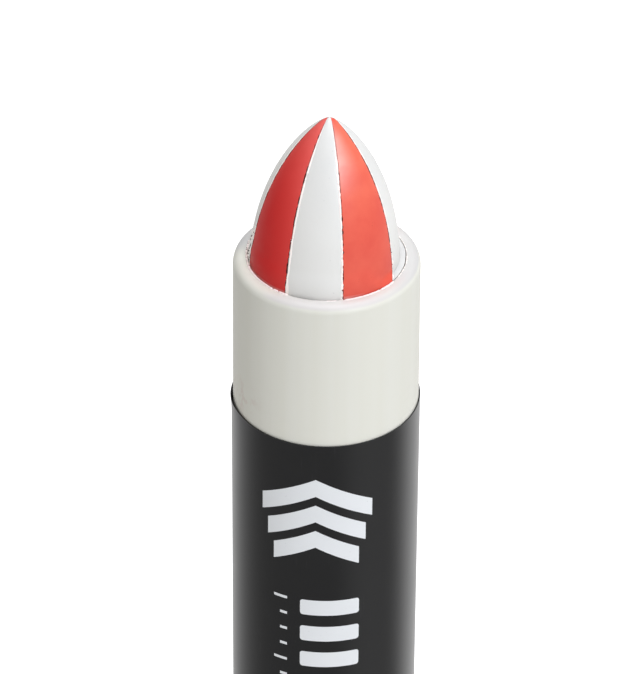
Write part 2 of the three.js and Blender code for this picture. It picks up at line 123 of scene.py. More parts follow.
class Graph:
    """The node tree of one material or world."""

    def __init__(self, tree: bpy.types.NodeTree) -> None:
        """Empties the tree.

        Args:
            tree: The tree to build in.
        """
        self.tree = tree
        tree.nodes.clear()

    def node(
        self,
        kind: str,
        settings: Optional[dict[str, Any]] = None,
        values: Optional[dict[Union[int, str], Any]] = None,
        output: Union[int, str] = 0,
    ) -> Sock:
        """Adds a node.

        Args:
            kind: The node's type.
            settings: Its attributes, set first.
            values: A value or a Sock for each input, by index or name.
            output: The output that is returned.

        Returns:
            The chosen output.
        """
        made = self.tree.nodes.new(kind)
        for name, value in (settings or {}).items():
            setattr(made, name, value)
        for key, value in (values or {}).items():
            if isinstance(value, Sock):
                self.tree.links.new(value.socket, made.inputs[key])
            else:
                made.inputs[key].default_value = value
        return Sock(self, made.outputs[output] if made.outputs else None)

    def place(self) -> Sock:
        """The position on the object, in metres."""
        return self.node("ShaderNodeTexCoord", output="Object")

    def axes(self) -> tuple[Sock, ...]:
        """The position's x, y and z."""
        split = self.node("ShaderNodeSeparateXYZ", values={0: self.place()})
        return tuple(Sock(self, made) for made in split.socket.node.outputs)

    def _mapped(self, stretch: Sequence[float], shift: float) -> Sock:
        """The position, shrunk along each axis by its stretch and moved by the shift."""
        scale = [1.0 / s for s in stretch]
        values = {"Vector": self.place(), "Location": (shift, shift, shift), "Scale": scale}
        return self.node("ShaderNodeMapping", {"vector_type": "POINT"}, values)

    def noise(
        self,
        size_mm: float,
        detail: float = 3.0,
        roughness: float = 0.5,
        stretch: Sequence[float] = (1.0, 1.0, 1.0),
        shift: float = 0.0,
    ) -> Sock:
        """Noise of about the given grain, stretched along the axes.

        Args:
            size_mm: The grain's size.
            detail: The number of finer octaves.
            roughness: The weight of the finer octaves.
            stretch: How much longer the grain is along x, y and z.
            shift: A distance that sets this noise apart from others.

        Returns:
            A value from 0 to 1, mostly near 0.5.
        """
        values = {"Vector": self._mapped(stretch, shift), "Scale": 1.0 / (size_mm * MM)}
        values.update({"Detail": detail, "Roughness": roughness})
        return self.node("ShaderNodeTexNoise", None, values)

    def pits(self, size_mm: float, reach: float, stretch: Sequence[float] = (1.0, 1.0, 1.0)) -> Sock:
        """Small round spots, 1 at their middles and 0 away from them.

        Args:
            size_mm: The mean distance between spots.
            reach: The spots' radius as a share of that distance.
            stretch: How much longer the pattern is along x, y and z.

        Returns:
            The spots' strength.
        """
        values = {"Vector": self._mapped(stretch, 0.0), "Scale": 1.0 / (size_mm * MM)}
        return self.node("ShaderNodeTexVoronoi", None, values).fade(0.0, reach)

    def mix(self, share: Any, first: Any, second: Any) -> Sock:
        """Mixes two colours.

        Args:
            share: The second colour's share.
            first: A colour or a Sock.
            second: A colour or a Sock.

        Returns:
            The mixed colour.
        """
        made = self.tree.nodes.new("ShaderNodeMix")
        made.data_type = "RGBA"
        inputs = [s for s in made.inputs if s.enabled]
        for socket, value in zip(inputs, (share, first, second)):
            if isinstance(value, Sock):
                self.tree.links.new(value.socket, socket)
            else:
                socket.default_value = value if socket.type == "VALUE" else (*value, 1.0)
        return Sock(self, next(s for s in made.outputs if s.enabled))

    def layers(self, base: Colour, *layers: tuple[Sock, Colour]) -> Union[Sock, Colour]:
        """Lays tones over a colour, one after another.

        Args:
            base: The colour underneath.
            layers: Each tone's share and the tone.

        Returns:
            The colour on top.
        """
        tone = base
        for share, colour in layers:
            tone = self.mix(share, tone, colour)
        return tone

    def bump(self, height: Sock, strength: float, depth_mm: float) -> Sock:
        """A normal from a height.

        Args:
            height: The height, 0 to 1.
            strength: How much of it is used.
            depth_mm: The depth that 1 stands for.

        Returns:
            The normal.
        """
        values = {"Height": height, "Strength": strength, "Distance": depth_mm * MM}
        return self.node("ShaderNodeBump", None, values)


# Finishes


def toned(colour: Colour, *factors: float) -> Colour:
    """A colour times one factor, or times one for each channel."""
    return tuple(c * f for c, f in zip(colour, factors if len(factors) == 3 else factors * 3))


@dataclass(frozen=True)
class Finish:
    """A finish with one main colour, as a starting point for the others.

    Attributes:
        name: The material's name.
        colour: Its main colour.
        roughness: Its mean roughness.
        coat: The weight of its clear coat.
        coat_roughness: That coat's roughness.
        specular: The level of its reflection.
        subsurface: How much light goes through its skin.
        subsurface_radius: How far each channel goes there, in millimetres.
        glow: How brightly it glows of itself, as painted light on the burr and the smears.
    """

    name: str
    colour: Colour
    roughness: float = 0.45
    coat: float = 0.0
    coat_roughness: float = 0.2
    specular: float = 0.5
    subsurface: float = 0.0
    subsurface_radius: Colour = (0.6, 0.5, 0.4)
    glow: float = 0.0

    def surface(self, graph: Graph) -> dict[str, Any]:
        """The inputs that vary over the surface.

        Args:
            graph: The material's nodes.

        Returns:
            A Sock for each input's name.
        """
        mottle = graph.noise(6.0, 3.0)
        grain = graph.noise(0.25, 2.0)
        return {
            "Base Color": graph.mix(mottle, toned(self.colour, 0.94), self.colour),
            "Roughness": mottle * 0.1 + (self.roughness - 0.05),
            "Normal": graph.bump(grain, 0.2, 0.02),
        }

    def build(self) -> bpy.types.Material:
        """Makes the material.

        Returns:
            The material, with its constants on the shader's own sockets.
        """
        material = bpy.data.materials.new(self.name)
        material.use_nodes = True
        graph = Graph(material.node_tree)
        values: dict[Union[int, str], Any] = {
            "IOR": 1.48,
            "Specular IOR Level": self.specular,
            "Coat Weight": self.coat,
            "Coat Roughness": self.coat_roughness,
            "Subsurface Weight": self.subsurface,
            "Subsurface Radius": self.subsurface_radius,
            "Subsurface Scale": MM,
            # painted light: the glow makes a part shine of itself though it is no lamp
            "Emission Color": (*self.colour, 1.0),
            "Emission Strength": self.glow,
        }
        values.update(self.surface(graph))
        shader = graph.node("ShaderNodeBsdfPrincipled", None, values)
        graph.node("ShaderNodeOutputMaterial", None, {"Surface": shader})
        return material


@dataclass(frozen=True)
class IvoryPlastic(Finish):
    """Satin ivory moulding with faint flow bands, handling marks, smudges and specks of dirt.

    The rim's top has painted shade: darker tones in front, on the right and at the back on the left.
    Each pair holds the two places between which one of them fades, along X or Y.
    """

    smudge_height: float = 103.5 * MM
    smudge_angle: float = -1.1
    smudge_tone: Colour = (0.6, 0.43, 0.37)
    speck_tone: Colour = (0.3, 0.27, 0.22)
    rim_height: float = 117.8 * MM
    rim_front_shade: Colour = (0.7, 0.665, 0.63)
    rim_front: Point = (-7.5 * MM, -6.0 * MM)
    rim_right_shade: Colour = (0.635, 0.617, 0.59)
    rim_right: Point = (1.0 * MM, 8.8 * MM)
    rim_rear_shade: Colour = (0.6, 0.59, 0.57)
    rim_rear: Point = (-0.5 * MM, 2.5 * MM)
    rim_rear_left: Point = (-6.5 * MM, -4.0 * MM)

    def surface(self, graph: Graph) -> dict[str, Any]:
        """See Finish.surface: bands along the axis, smudges above the label's left."""
        x, y, z = graph.axes()
        bands = graph.noise(1.5, 2.0, 0.5, (1.0, 1.0, 60.0))
        mottle = graph.noise(9.0, 4.0, 0.6, shift=0.3)
        near = (x.angle_to(y * -1.0) - self.smudge_angle).size().fade(0.1, 0.42)
        low = (z - self.smudge_height).size().fade(0.6 * MM, 3.2 * MM)
        rubbed = graph.noise(1.1, 4.0, 0.6, (1.0, 1.0, 1.3), 0.7).ramp(0.5, 0.62)
        rim = z.ramp(self.rim_height - 0.3 * MM, self.rim_height)
        specks = graph.pits(2.6, 0.035) * graph.noise(5.0, 1.0, shift=1.1).ramp(0.5, 0.6)
        scuffs = graph.noise(0.5, 4.0, 0.7, (6.0, 6.0, 1.0), 0.2)
        grain = graph.noise(0.18, 2.0)
        return {
            "Base Color": graph.layers(
                toned(self.colour, 0.98, 0.977, 0.96),
                (bands.ramp(0.25, 0.75), self.colour),
                (mottle.ramp(0.4, 0.75) * 0.25, toned(self.colour, 0.95)),
                (near * low * rubbed * 0.28, self.smudge_tone),
                # painted shade on the rim's top
                (rim * y.fade(*self.rim_front), self.rim_front_shade),
                (rim * x.ramp(*self.rim_right), self.rim_right_shade),
                (rim * y.ramp(*self.rim_rear) * x.fade(*self.rim_rear_left), self.rim_rear_shade),
                (specks * 0.5, self.speck_tone),
            ),
            "Roughness": scuffs.ramp(0.4, 0.8) * 0.14 + mottle * 0.06 + (self.roughness - 0.08),
            "Normal": graph.bump(grain * 0.7 + scuffs * 0.3, 0.18, 0.015),
        }


@dataclass(frozen=True)
class LabelFilm(Finish):
    """Black printed film, with orange peel, hairline scuffs and dust."""

    dust_tone: Colour = (0.2, 0.2, 0.2)

    def surface(self, graph: Graph) -> dict[str, Any]:
        """See Finish.surface: patches of hairlines along the barrel, fine orange peel."""
        peel = graph.noise(0.6, 2.0)
        along = graph.noise(0.12, 3.0, 0.6, (1.0, 1.0, 40.0), 0.4)
        patches = graph.noise(7.0, 3.0, 0.6, shift=0.9)
        hairs = along.ramp(0.62, 0.72) * patches.ramp(0.45, 0.7)
        dust = graph.pits(1.9, 0.03) * patches.ramp(0.4, 0.6)
        tone = graph.mix(patches, self.colour, toned(self.colour, 1.35))
        return {
            "Base Color": graph.mix(hairs * 0.12 + dust * 0.2, tone, self.dust_tone),
            "Roughness": patches * 0.08 + hairs * 0.15 + (self.roughness - 0.05),
            "Normal": graph.bump(peel, 0.12, 0.012),
        }


@dataclass(frozen=True)
class PrintInk(Finish):
    """White ink on the film, slightly uneven at the edge of each stroke."""

    worn_tone: Colour = (0.25, 0.25, 0.25)

    def surface(self, graph: Graph) -> dict[str, Any]:
        """See Finish.surface: thin patches where the film shows through."""
        wear = graph.noise(0.35, 3.0, 0.7).ramp(0.66, 0.78)
        cloud = graph.noise(5.0, 2.0)
        tone = graph.mix(cloud, toned(self.colour, 0.93), self.colour)
        return {
            "Base Color": graph.mix(wear * 0.35, tone, self.worn_tone),
            "Roughness": cloud * 0.12 + (self.roughness - 0.06),
            "Normal": graph.bump(graph.noise(0.2, 2.0), 0.15, 0.008),
        }


@dataclass(frozen=True)
class WaxPaint(Finish):
    """Cast waxy paint: soft tone changes, drag lines along the stick and pits, with painted light and shade
    by side, near the tip, above the rim and on the ledge.

    Each pair holds the two places between which a tone fades, along X, or along Z for
    tip_light_up, highlight_up and highlight_tip.

    Attributes:
        deep: Its tone in the clouds.
        lit_side: Painted light: its tone towards +X, the side that the key light falls on.
        high: Painted light and shade: its tone towards the tip, on the side of +X, a painted sheen on the
            red and darker on the white.
        bloom: A painted highlight: the pale pink sheen of the key light near the tip, in front.
        foot: Painted light: its paler tone just above the rim, lifting the shade beside the mouth.
        ledge: Painted shade: its darker tone where it lies flat in the mouth, facing the lights above.
    """

    deep: Colour = (0.5, 0.5, 0.5)
    lit_side: Colour = (0.5, 0.5, 0.5)
    lit_side_across: Point = (-6.5 * MM, 3.0 * MM)
    high: Colour = (0.5, 0.5, 0.5)
    tip_light_up: Point = (123.5 * MM, 131.5 * MM)
    tip_light_across: Point = (-4.0 * MM, 0.5 * MM)
    bloom: Colour = (0.9, 0.6, 0.55)
    highlight_up: Point = (127.5 * MM, 131.5 * MM)
    highlight_tip: Point = (132.8 * MM, 133.8 * MM)
    highlight_share: float = 0.0
    foot_light_low: float = 117.1 * MM
    foot: Colour = (0.9, 0.5, 0.45)
    foot_light_top: float = 118.35 * MM
    foot_light_across: Point = (2.5 * MM, 4.2 * MM)
    foot_light_share: float = 0.55
    ledge: Colour = (0.66, 0.65, 0.63)
    ledge_shade_across: Point = (5.6 * MM, 6.2 * MM)
    ledge_shade_top: float = 118.4 * MM

    def surface(self, graph: Graph) -> dict[str, Any]:
        """See Finish.surface: clouds, lines along the stick, pits and a soft skin."""
        x, y, z = graph.axes()
        ahead = x.angle_to(y * -1.0)
        # pale: where the painted highlight of the key light lies near the tip
        pale = ahead.fade(0.15, 0.95) * ahead.ramp(-0.6, -0.1)
        pale = pale * z.ramp(*self.highlight_up) * z.ramp(*self.highlight_tip, 1.0, 0.3)
        above = z.ramp(self.foot_light_low, self.foot_light_low + 0.6 * MM)
        # rubbed: where painted light lifts the shade just above the rim
        rubbed = above * z.fade(self.foot_light_top - 0.3 * MM, self.foot_light_top) * x.fade(*self.foot_light_across)
        # flat: where painted shade darkens the ledge, which faces the lights above
        flat = above * z.fade(self.ledge_shade_top - 0.2 * MM, self.ledge_shade_top) * x.ramp(*self.ledge_shade_across)
        clouds = graph.noise(2.6, 3.0, 0.55)
        pits = graph.pits(0.55, 0.16, (1.0, 1.0, 1.5)) * graph.noise(1.4, 2.0, shift=0.6).ramp(0.52, 0.66)
        drag = graph.noise(0.22, 3.0, 0.6, (1.0, 1.0, 14.0), 0.5)
        skin = graph.noise(0.5, 3.0, 0.6, shift=0.8)
        return {
            "Base Color": graph.layers(
                self.colour,
                # painted light: the tone changes towards +X, where the key light falls
                (x.ramp(*self.lit_side_across), self.lit_side),
                # painted light and shade towards the tip on the side of +X
                (z.ramp(*self.tip_light_up) * x.ramp(*self.tip_light_across), self.high),
                # painted highlight near the tip
                (pale * self.highlight_share, self.bloom),
                # painted light over the shade beside the mouth
                (rubbed * self.foot_light_share, self.foot),
                # painted shade on the ledge
                (flat, self.ledge),
                (clouds.ramp(0.3, 0.75) * 0.3, self.deep),
                (pits * 0.35, toned(self.deep, 0.45)),
            ),
            "Roughness": skin * 0.16 + drag * 0.06 + (self.roughness - 0.11),
            "Normal": graph.bump(skin * 0.5 + drag * 0.35 - pits * 0.5, 0.3, 0.03),
        }


@dataclass(frozen=True)
class SealRubber(Finish):
    """Moulded rubber with a fine matte skin."""

    bloom_tone: Colour = (0.09, 0.09, 0.09)

    def surface(self, graph: Graph) -> dict[str, Any]:
        """See Finish.surface: a greyish bloom and fine grain."""
        bloom = graph.noise(1.2, 3.0)
        return {
            "Base Color": graph.mix(bloom.ramp(0.4, 0.8) * 0.4, self.colour, self.bloom_tone),
            "Roughness": bloom * 0.15 + self.roughness,
            "Normal": graph.bump(graph.noise(0.12, 2.0), 0.3, 0.015),
        }


IVORY_PLASTIC = IvoryPlastic("Ivory_plastic", (0.78, 0.765, 0.68), 0.46, specular=0.35)
# The paints' tones towards +X, towards the tip, near the tip in front, above the rim and on the ledge are
# painted light and shade.
WHITE_PAINT = WaxPaint(
    "White_paint", (0.86, 0.84, 0.79), 0.42, specular=0.4,
    deep=(0.82, 0.8, 0.75), lit_side=(0.83, 0.815, 0.77), high=(0.735, 0.725, 0.69), foot_light_share=0.0,
)
RED_PAINT = WaxPaint(
    "Red_paint", (0.69, 0.014, 0.013), 0.4, specular=0.35,
    deep=(0.7, 0.045, 0.038), lit_side=(0.84, 0.12, 0.074),
    high=(0.88, 0.18, 0.11), tip_light_across=(0.2 * MM, 1.2 * MM), bloom=(0.93, 0.62, 0.56), highlight_share=0.58,
    ledge=(0.82, 0.114, 0.071), ledge_shade_across=(3.5 * MM, 5.2 * MM), ledge_shade_top=118.8 * MM,
)
BLACK_FILM = LabelFilm("Label_film", (0.0095, 0.0093, 0.0095), 0.3, coat=0.35, coat_roughness=0.3)
DULL_RED_PAINT = replace(
    RED_PAINT, name="Dull_red_paint", colour=(0.705, 0.013, 0.012), lit_side=(0.96, 0.215, 0.184), specular=0.17
)


class Look(Enum):
    """The finishes: at least one for each material slot of the record."""

    IVORY = ("ivory_plastic", IVORY_PLASTIC)
    KNOB = ("knob_plastic", replace(IVORY_PLASTIC, name="Knob_plastic", roughness=0.48, smudge_height=-1.0))
    FILM = ("label_film", BLACK_FILM)
    INK = ("label_film", PrintInk("White_ink", (0.84, 0.85, 0.85), 0.42))
    RUBBER = ("seal_rubber", SealRubber("Seal_rubber", (0.03, 0.03, 0.031), 0.55))
    NATURAL = ("natural_plastic", Finish("Natural_plastic", (0.78, 0.77, 0.71), 0.4, subsurface=0.2))
    WHITE = ("white_paint", WHITE_PAINT)
    RED = ("red_paint", RED_PAINT)
    DULL_RED = ("red_paint", DULL_RED_PAINT)
    GRIME = ("red_paint", Finish("Seam_grime", (0.085, 0.012, 0.01), 0.6, specular=0.2))
    # the burr's paint is real; its glow is painted light
    GLOWING_BURR = ("white_paint", Finish("Glowing_paint_burr", (1.0, 0.91, 0.85), 0.37, glow=0.13))
    # the smear's paint is real; its glow is painted light
    GLOWING_SMEAR = ("white_paint", Finish("Glowing_paint_smear", (0.98, 0.85, 0.81), 0.35, glow=0.07))

    def __init__(self, slot: str, finish: Finish) -> None:
        """Keeps the slot's name and its finish."""
        self.slot = slot
        self.finish = finish
        self.made: Optional[bpy.types.Material] = None

    def material(self) -> bpy.types.Material:
        """The finish's material, made once."""
        if self.made is None:
            self.made = self.finish.build()
        return self.made


# Mesh making


@dataclass(frozen=True)
class Corner:
    """One corner of a turned section.

    Attributes:
        radius: Its distance from the axis.
        height: Its height.
        round: The radius that it is rounded to, or 0.
    """

    radius: float
    height: float
    round: float = 0.0


def around(x: float, y: float) -> float:
    """The angle of a point from the front, towards +X."""
    return math.atan2(x, -y)


def polar(radius: float, angle: float, height: float = 0.0) -> Vector:
    """The point at a radius, an angle from the front and a height."""
    return Vector((radius * math.sin(angle), -radius * math.cos(angle), height))


def span(first: float, last: float) -> Point:
    """Two angles given in degrees, in radians."""
    return (math.radians(first), math.radians(last))


def held(share: float) -> float:
    """The nearest value within 0..1."""
    return min(max(share, 0.0), 1.0)


def smooth(share: float) -> float:
    """Eases a share in and out, held to 0..1."""
    eased = held(share)
    return eased * eased * (3.0 - 2.0 * eased)


def turned_by(angle: float, other: float) -> float:
    """The signed difference of two angles, within half a turn."""
    return (angle - other + math.pi) % math.tau - math.pi


def rough(x: float, y: float, z: float) -> float:
    """Smooth noise round 0, at a point in units of its grain."""
    return noise.noise(Vector((x, y, z)))


def patchy(value: float, gaps: float) -> float:
    """How full a thin line of paint is, 0 to 1, from noise and from how much is missing."""
    return smooth(0.5 + (value - gaps * 1.6) * 1.6)


def face_out(mesh: BMesh) -> None:
    """Points the faces outwards."""
    bmesh.ops.recalc_face_normals(mesh, faces=mesh.faces[:])


def tidy(mesh: BMesh) -> None:
    """Merges doubles and points the faces outwards.

    Args:
        mesh: The mesh to tidy.
    """
    bmesh.ops.remove_doubles(mesh, verts=mesh.verts[:], dist=MERGE)
    bmesh.ops.dissolve_degenerate(mesh, edges=mesh.edges[:], dist=MERGE / 2)
    face_out(mesh)


def rounded(mesh: BMesh, verts: Sequence[BMVert], radius: float, segments: int) -> None:
    """Rounds corners of a flat face.

    Args:
        mesh: The mesh that the face is in.
        verts: The corners.
        radius: The radius that they are rounded to.
        segments: The segments of each.
    """
    bmesh.ops.bevel(
        mesh, geom=verts, offset=radius, offset_type="OFFSET", segments=segments,
        profile=0.5, affect="VERTICES", material=-1,
    )


def turned(corners: Sequence[Corner], steps: int, segments: int) -> BMesh:
    """Spins a closed section in the XZ plane round the axis.

    Args:
        corners: The section's corners, in order.
        steps: The steps of the full turn.
        segments: The segments of each rounded corner.

    Returns:
        The closed turned mesh.
    """
    mesh = bmesh.new()
    verts = [mesh.verts.new((c.radius, 0.0, c.height)) for c in corners]
    mesh.faces.new(verts)
    for vert, corner in zip(verts, corners):
        if corner.round > 0.0:
            rounded(mesh, [vert], corner.round, segments)
    bmesh.ops.delete(mesh, geom=mesh.faces[:], context="FACES_ONLY")
    bmesh.ops.spin(
        mesh, geom=mesh.verts[:] + mesh.edges[:], cent=(0, 0, 0), axis=(0, 0, 1),
        angle=math.tau, steps=steps, use_merge=True,
    )
    tidy(mesh)
    return mesh


def turn(mesh: BMesh, verts: Sequence[BMVert], angle: float) -> None:
    """Turns vertices about the axis."""
    bmesh.ops.rotate(mesh, verts=verts, cent=(0, 0, 0), matrix=Matrix.Rotation(angle, 3, "Z"))


def thicken(mesh: BMesh, thickness: float) -> None:
    """Gives a sheet its thickness, outwards."""
    bmesh.ops.solidify(mesh, geom=mesh.faces[:], thickness=-thickness)
    face_out(mesh)


def strips(mesh: BMesh, radius: float, heights: Point, count: int, half: float) -> list[BMFace]:
    """The faces of a turned wall that lie on upright strips, evenly spaced round the axis.

    Args:
        mesh: The turned mesh.
        radius: The wall's radius.
        heights: The strips' foot and top.
        count: How many strips there are. The front lies midway between two.
        half: Half the angle of each.

    Returns:
        The faces.
    """
    low, high = heights
    found = []
    for face in mesh.faces:
        middle = face.calc_center_median()
        if abs(math.hypot(middle.x, middle.y) - radius) > 0.02 * MM or not low < middle.z < high:
            continue
        if abs(turned_by(around(middle.x, middle.y) * count, math.pi)) / count < half:
            found.append(face)
    return found


def cord(sides: int, steps: int) -> BMesh:
    """An upright cylinder to be bent along a path.

    Args:
        sides: How many sides it has.
        steps: How many cuts it has along its length.

    Returns:
        The cylinder, of radius and length 1, with its middle at the origin.
    """
    mesh = bmesh.new()
    bmesh.ops.create_cone(mesh, cap_ends=True, segments=sides, radius1=1.0, radius2=1.0, depth=1.0)
    upright = [e for e in mesh.edges if abs(e.verts[0].co.z - e.verts[1].co.z) > 0.5]
    bmesh.ops.subdivide_edges(mesh, edges=upright, cuts=steps, use_grid_fill=True)
    return mesh


def link(name: str, data: bpy.types.ID) -> bpy.types.Object:
    """Puts a mesh, a light or a camera into the scene.

    Args:
        name: The object's name.
        data: What it shows.

    Returns:
        The object.
    """
    made = bpy.data.objects.new(name, data)
    bpy.context.scene.collection.objects.link(made)
    return made


def put(name: str, mesh: BMesh, look: Look, body: str, crease_deg: float) -> bpy.types.Object:
    """Turns a mesh into a piece that rides on a body.

    Args:
        name: The piece's name.
        mesh: Its mesh, which is freed.
        look: Its finish.
        body: The body that it rides on.
        crease_deg: The angle above which an edge stays sharp.

    Returns:
        The piece.
    """
    data = bpy.data.meshes.new(name)
    for face in mesh.faces:
        face.smooth = True
    for edge in mesh.edges:
        if len(edge.link_faces) == 2:
            edge.smooth = edge.calc_face_angle(0.0) < math.radians(crease_deg)
    mesh.to_mesh(data)
    mesh.free()
    piece = link(name, data)
    data.materials.append(look.material())
    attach(piece, body)
    LOG.info("%s: %d faces on %s", name, len(data.polygons), body)
    return piece


def dress(node: str, look: Look) -> None:
    """Gives a CAD node its finish.

    Args:
        node: The node's name.
        look: The finish.
    """
    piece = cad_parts[node]
    piece.data.materials.clear()
    piece.data.materials.append(look.material())
    LOG.info("%s: dressed in %s", node, look.finish.name)


# Sub-assemblies


@dataclass
class Barrel:
    """The ivory barrel, whose bare top is the collar."""

    radius: float = 9.35 * MM
    rim_radius: float = 9.3 * MM
    rim: float = 118.0 * MM
    rim_round: float = 0.9 * MM
    mouth_radius: float = 7.87 * MM
    mouth_round: float = 0.1 * MM
    label_top: float = 101.4 * MM
    foot: float = 12.3 * MM
    foot_round: float = 0.25 * MM
    socket_radius: float = 8.5 * MM
    socket_round: float = 0.2 * MM
    socket_top: float = 21.0 * MM
    snap_height: float = 14.5 * MM
    snap_half: float = 1.1 * MM
    snap_depth: float = 0.3 * MM
    groove_top: float = 114.25 * MM
    groove_width: float = 2.4 * MM
    groove_count: int = 4
    steps: int = 240
    round_segments: int = 10
    crease_deg: float = 50.0

    def build(self) -> None:
        """Spins the section, cuts the guide grooves and puts the barrel in place."""
        snap = self.socket_radius + self.snap_depth
        snap_low, snap_high = self.snap_height - self.snap_half, self.snap_height + self.snap_half
        corners = [
            Corner(self.socket_radius, self.foot, self.socket_round),
            Corner(self.radius, self.foot, self.foot_round),
            Corner(self.radius, self.label_top),
            Corner(self.rim_radius, self.rim, self.rim_round),
            Corner(self.mouth_radius, self.rim, self.mouth_round),
            Corner(self.mouth_radius, self.groove_top),
            Corner(self.mouth_radius, self.socket_top),
            Corner(self.socket_radius, self.socket_top),
            Corner(self.socket_radius, snap_high),
            Corner(snap, snap_high - self.snap_depth),
            Corner(snap, snap_low + self.snap_depth),
            Corner(self.socket_radius, snap_low),
        ]
        mesh = turned(corners, self.steps, self.round_segments)
        self._cut_grooves(mesh)
        piece = put("barrel_moulding", mesh, Look.IVORY, "barrel", self.crease_deg)
        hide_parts("barrel")

    def _cut_grooves(self, mesh: BMesh) -> None:
        """Pushes strips of the bore outwards as guide grooves.

        Args:
            mesh: The turned barrel.
        """
        half = self.groove_width / self.mouth_radius / 2
        heights = (self.socket_top, self.groove_top)
        faces = strips(mesh, self.mouth_radius, heights, self.groove_count, half)
        grown = bmesh.ops.extrude_face_region(mesh, geom=faces)
        scale = self.socket_radius / self.mouth_radius
        for vert in {v for v in grown["geom"] if isinstance(v, BMVert)}:
            vert.co.x *= scale
            vert.co.y *= scale
        face_out(mesh)


@dataclass
class Label:
    """The black film wrapped once round the barrel, lapped at the back.

    Attributes:
        film: Its thickness.
        ramp: Over what length its end climbs onto its start.
        ripple: How far it stands off here and there.
        grain: How often it does so to the metre, across and along.
        lift: How far its upper edge stands off at the angle lift_angle.
    """

    inner: float = 9.38 * MM
    film: float = 0.12 * MM
    foot: float = 14.7 * MM
    top: float = 101.4 * MM
    lap: float = 3.2 * MM
    ramp: float = 1.2 * MM
    climb: float = 0.15 * MM
    ripple: float = 0.008 * MM
    lift: float = 0.14 * MM
    lift_angle: float = -1.42
    lift_reach: float = 0.42
    lift_height: float = 2.6 * MM
    steps: int = 280
    rows: int = 90
    grain: Point = (180.0, 90.0)
    crease_deg: float = 40.0

    def build(self) -> None:
        """Winds the strip, lets its edge lift at one place and puts it in place."""
        mesh = bmesh.new()
        ends = [mesh.verts.new(polar(self.inner, 0.0, height)) for height in (self.foot, self.top)]
        bmesh.ops.subdivide_edges(mesh, edges=[mesh.edges.new(ends)], cuts=self.rows)
        turn(mesh, mesh.verts[:], math.pi - self.lap / self.inner / 2)
        wound = mesh.verts.layers.float.new("wound")
        full = math.tau + self.lap / self.inner
        edges = mesh.edges[:]
        for step in range(self.steps):
            made = bmesh.ops.extrude_edge_only(mesh, edges=edges)["geom"]
            grown = [g for g in made if isinstance(g, BMVert)]
            edges = [g for g in made if isinstance(g, bmesh.types.BMEdge)]
            turn(mesh, grown, full / self.steps)
            for vert in grown:
                vert[wound] = full * (step + 1) / self.steps
        for vert in mesh.verts:
            self._settle(vert, vert[wound])
        face_out(mesh)
        face = mesh.faces[len(mesh.faces) // 2]
        middle = face.calc_center_median()
        if face.normal.dot(Vector((middle.x, middle.y, 0))) < 0:
            bmesh.ops.reverse_faces(mesh, faces=mesh.faces[:])
        thicken(mesh, self.film)
        piece = put("label_wrap", mesh, Look.FILM, "barrel", self.crease_deg)
        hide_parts("wrap_label")

    def _settle(self, vert: BMVert, wound: float) -> None:
        """Moves one vertex out where the film laps itself or lifts.

        Args:
            vert: The vertex, on the film's inner face.
            wound: How far round the strip it is, from the strip's start.
        """
        ramp = self.ramp / self.inner
        out = self.climb * held((wound - math.tau + ramp) / ramp)
        angle = around(vert.co.x, vert.co.y)
        near = 1.0 - abs(turned_by(angle, self.lift_angle)) / self.lift_reach
        high = max(0.0, 1.0 - (self.top - vert.co.z) / self.lift_height)
        out += self.lift * smooth(near) * high * high
        across, along = self.grain
        out += self.ripple * rough(vert.co.x * across, vert.co.y * across, vert.co.z * along)
        scale = 1.0 + out / self.inner
        vert.co.x *= scale
        vert.co.y *= scale


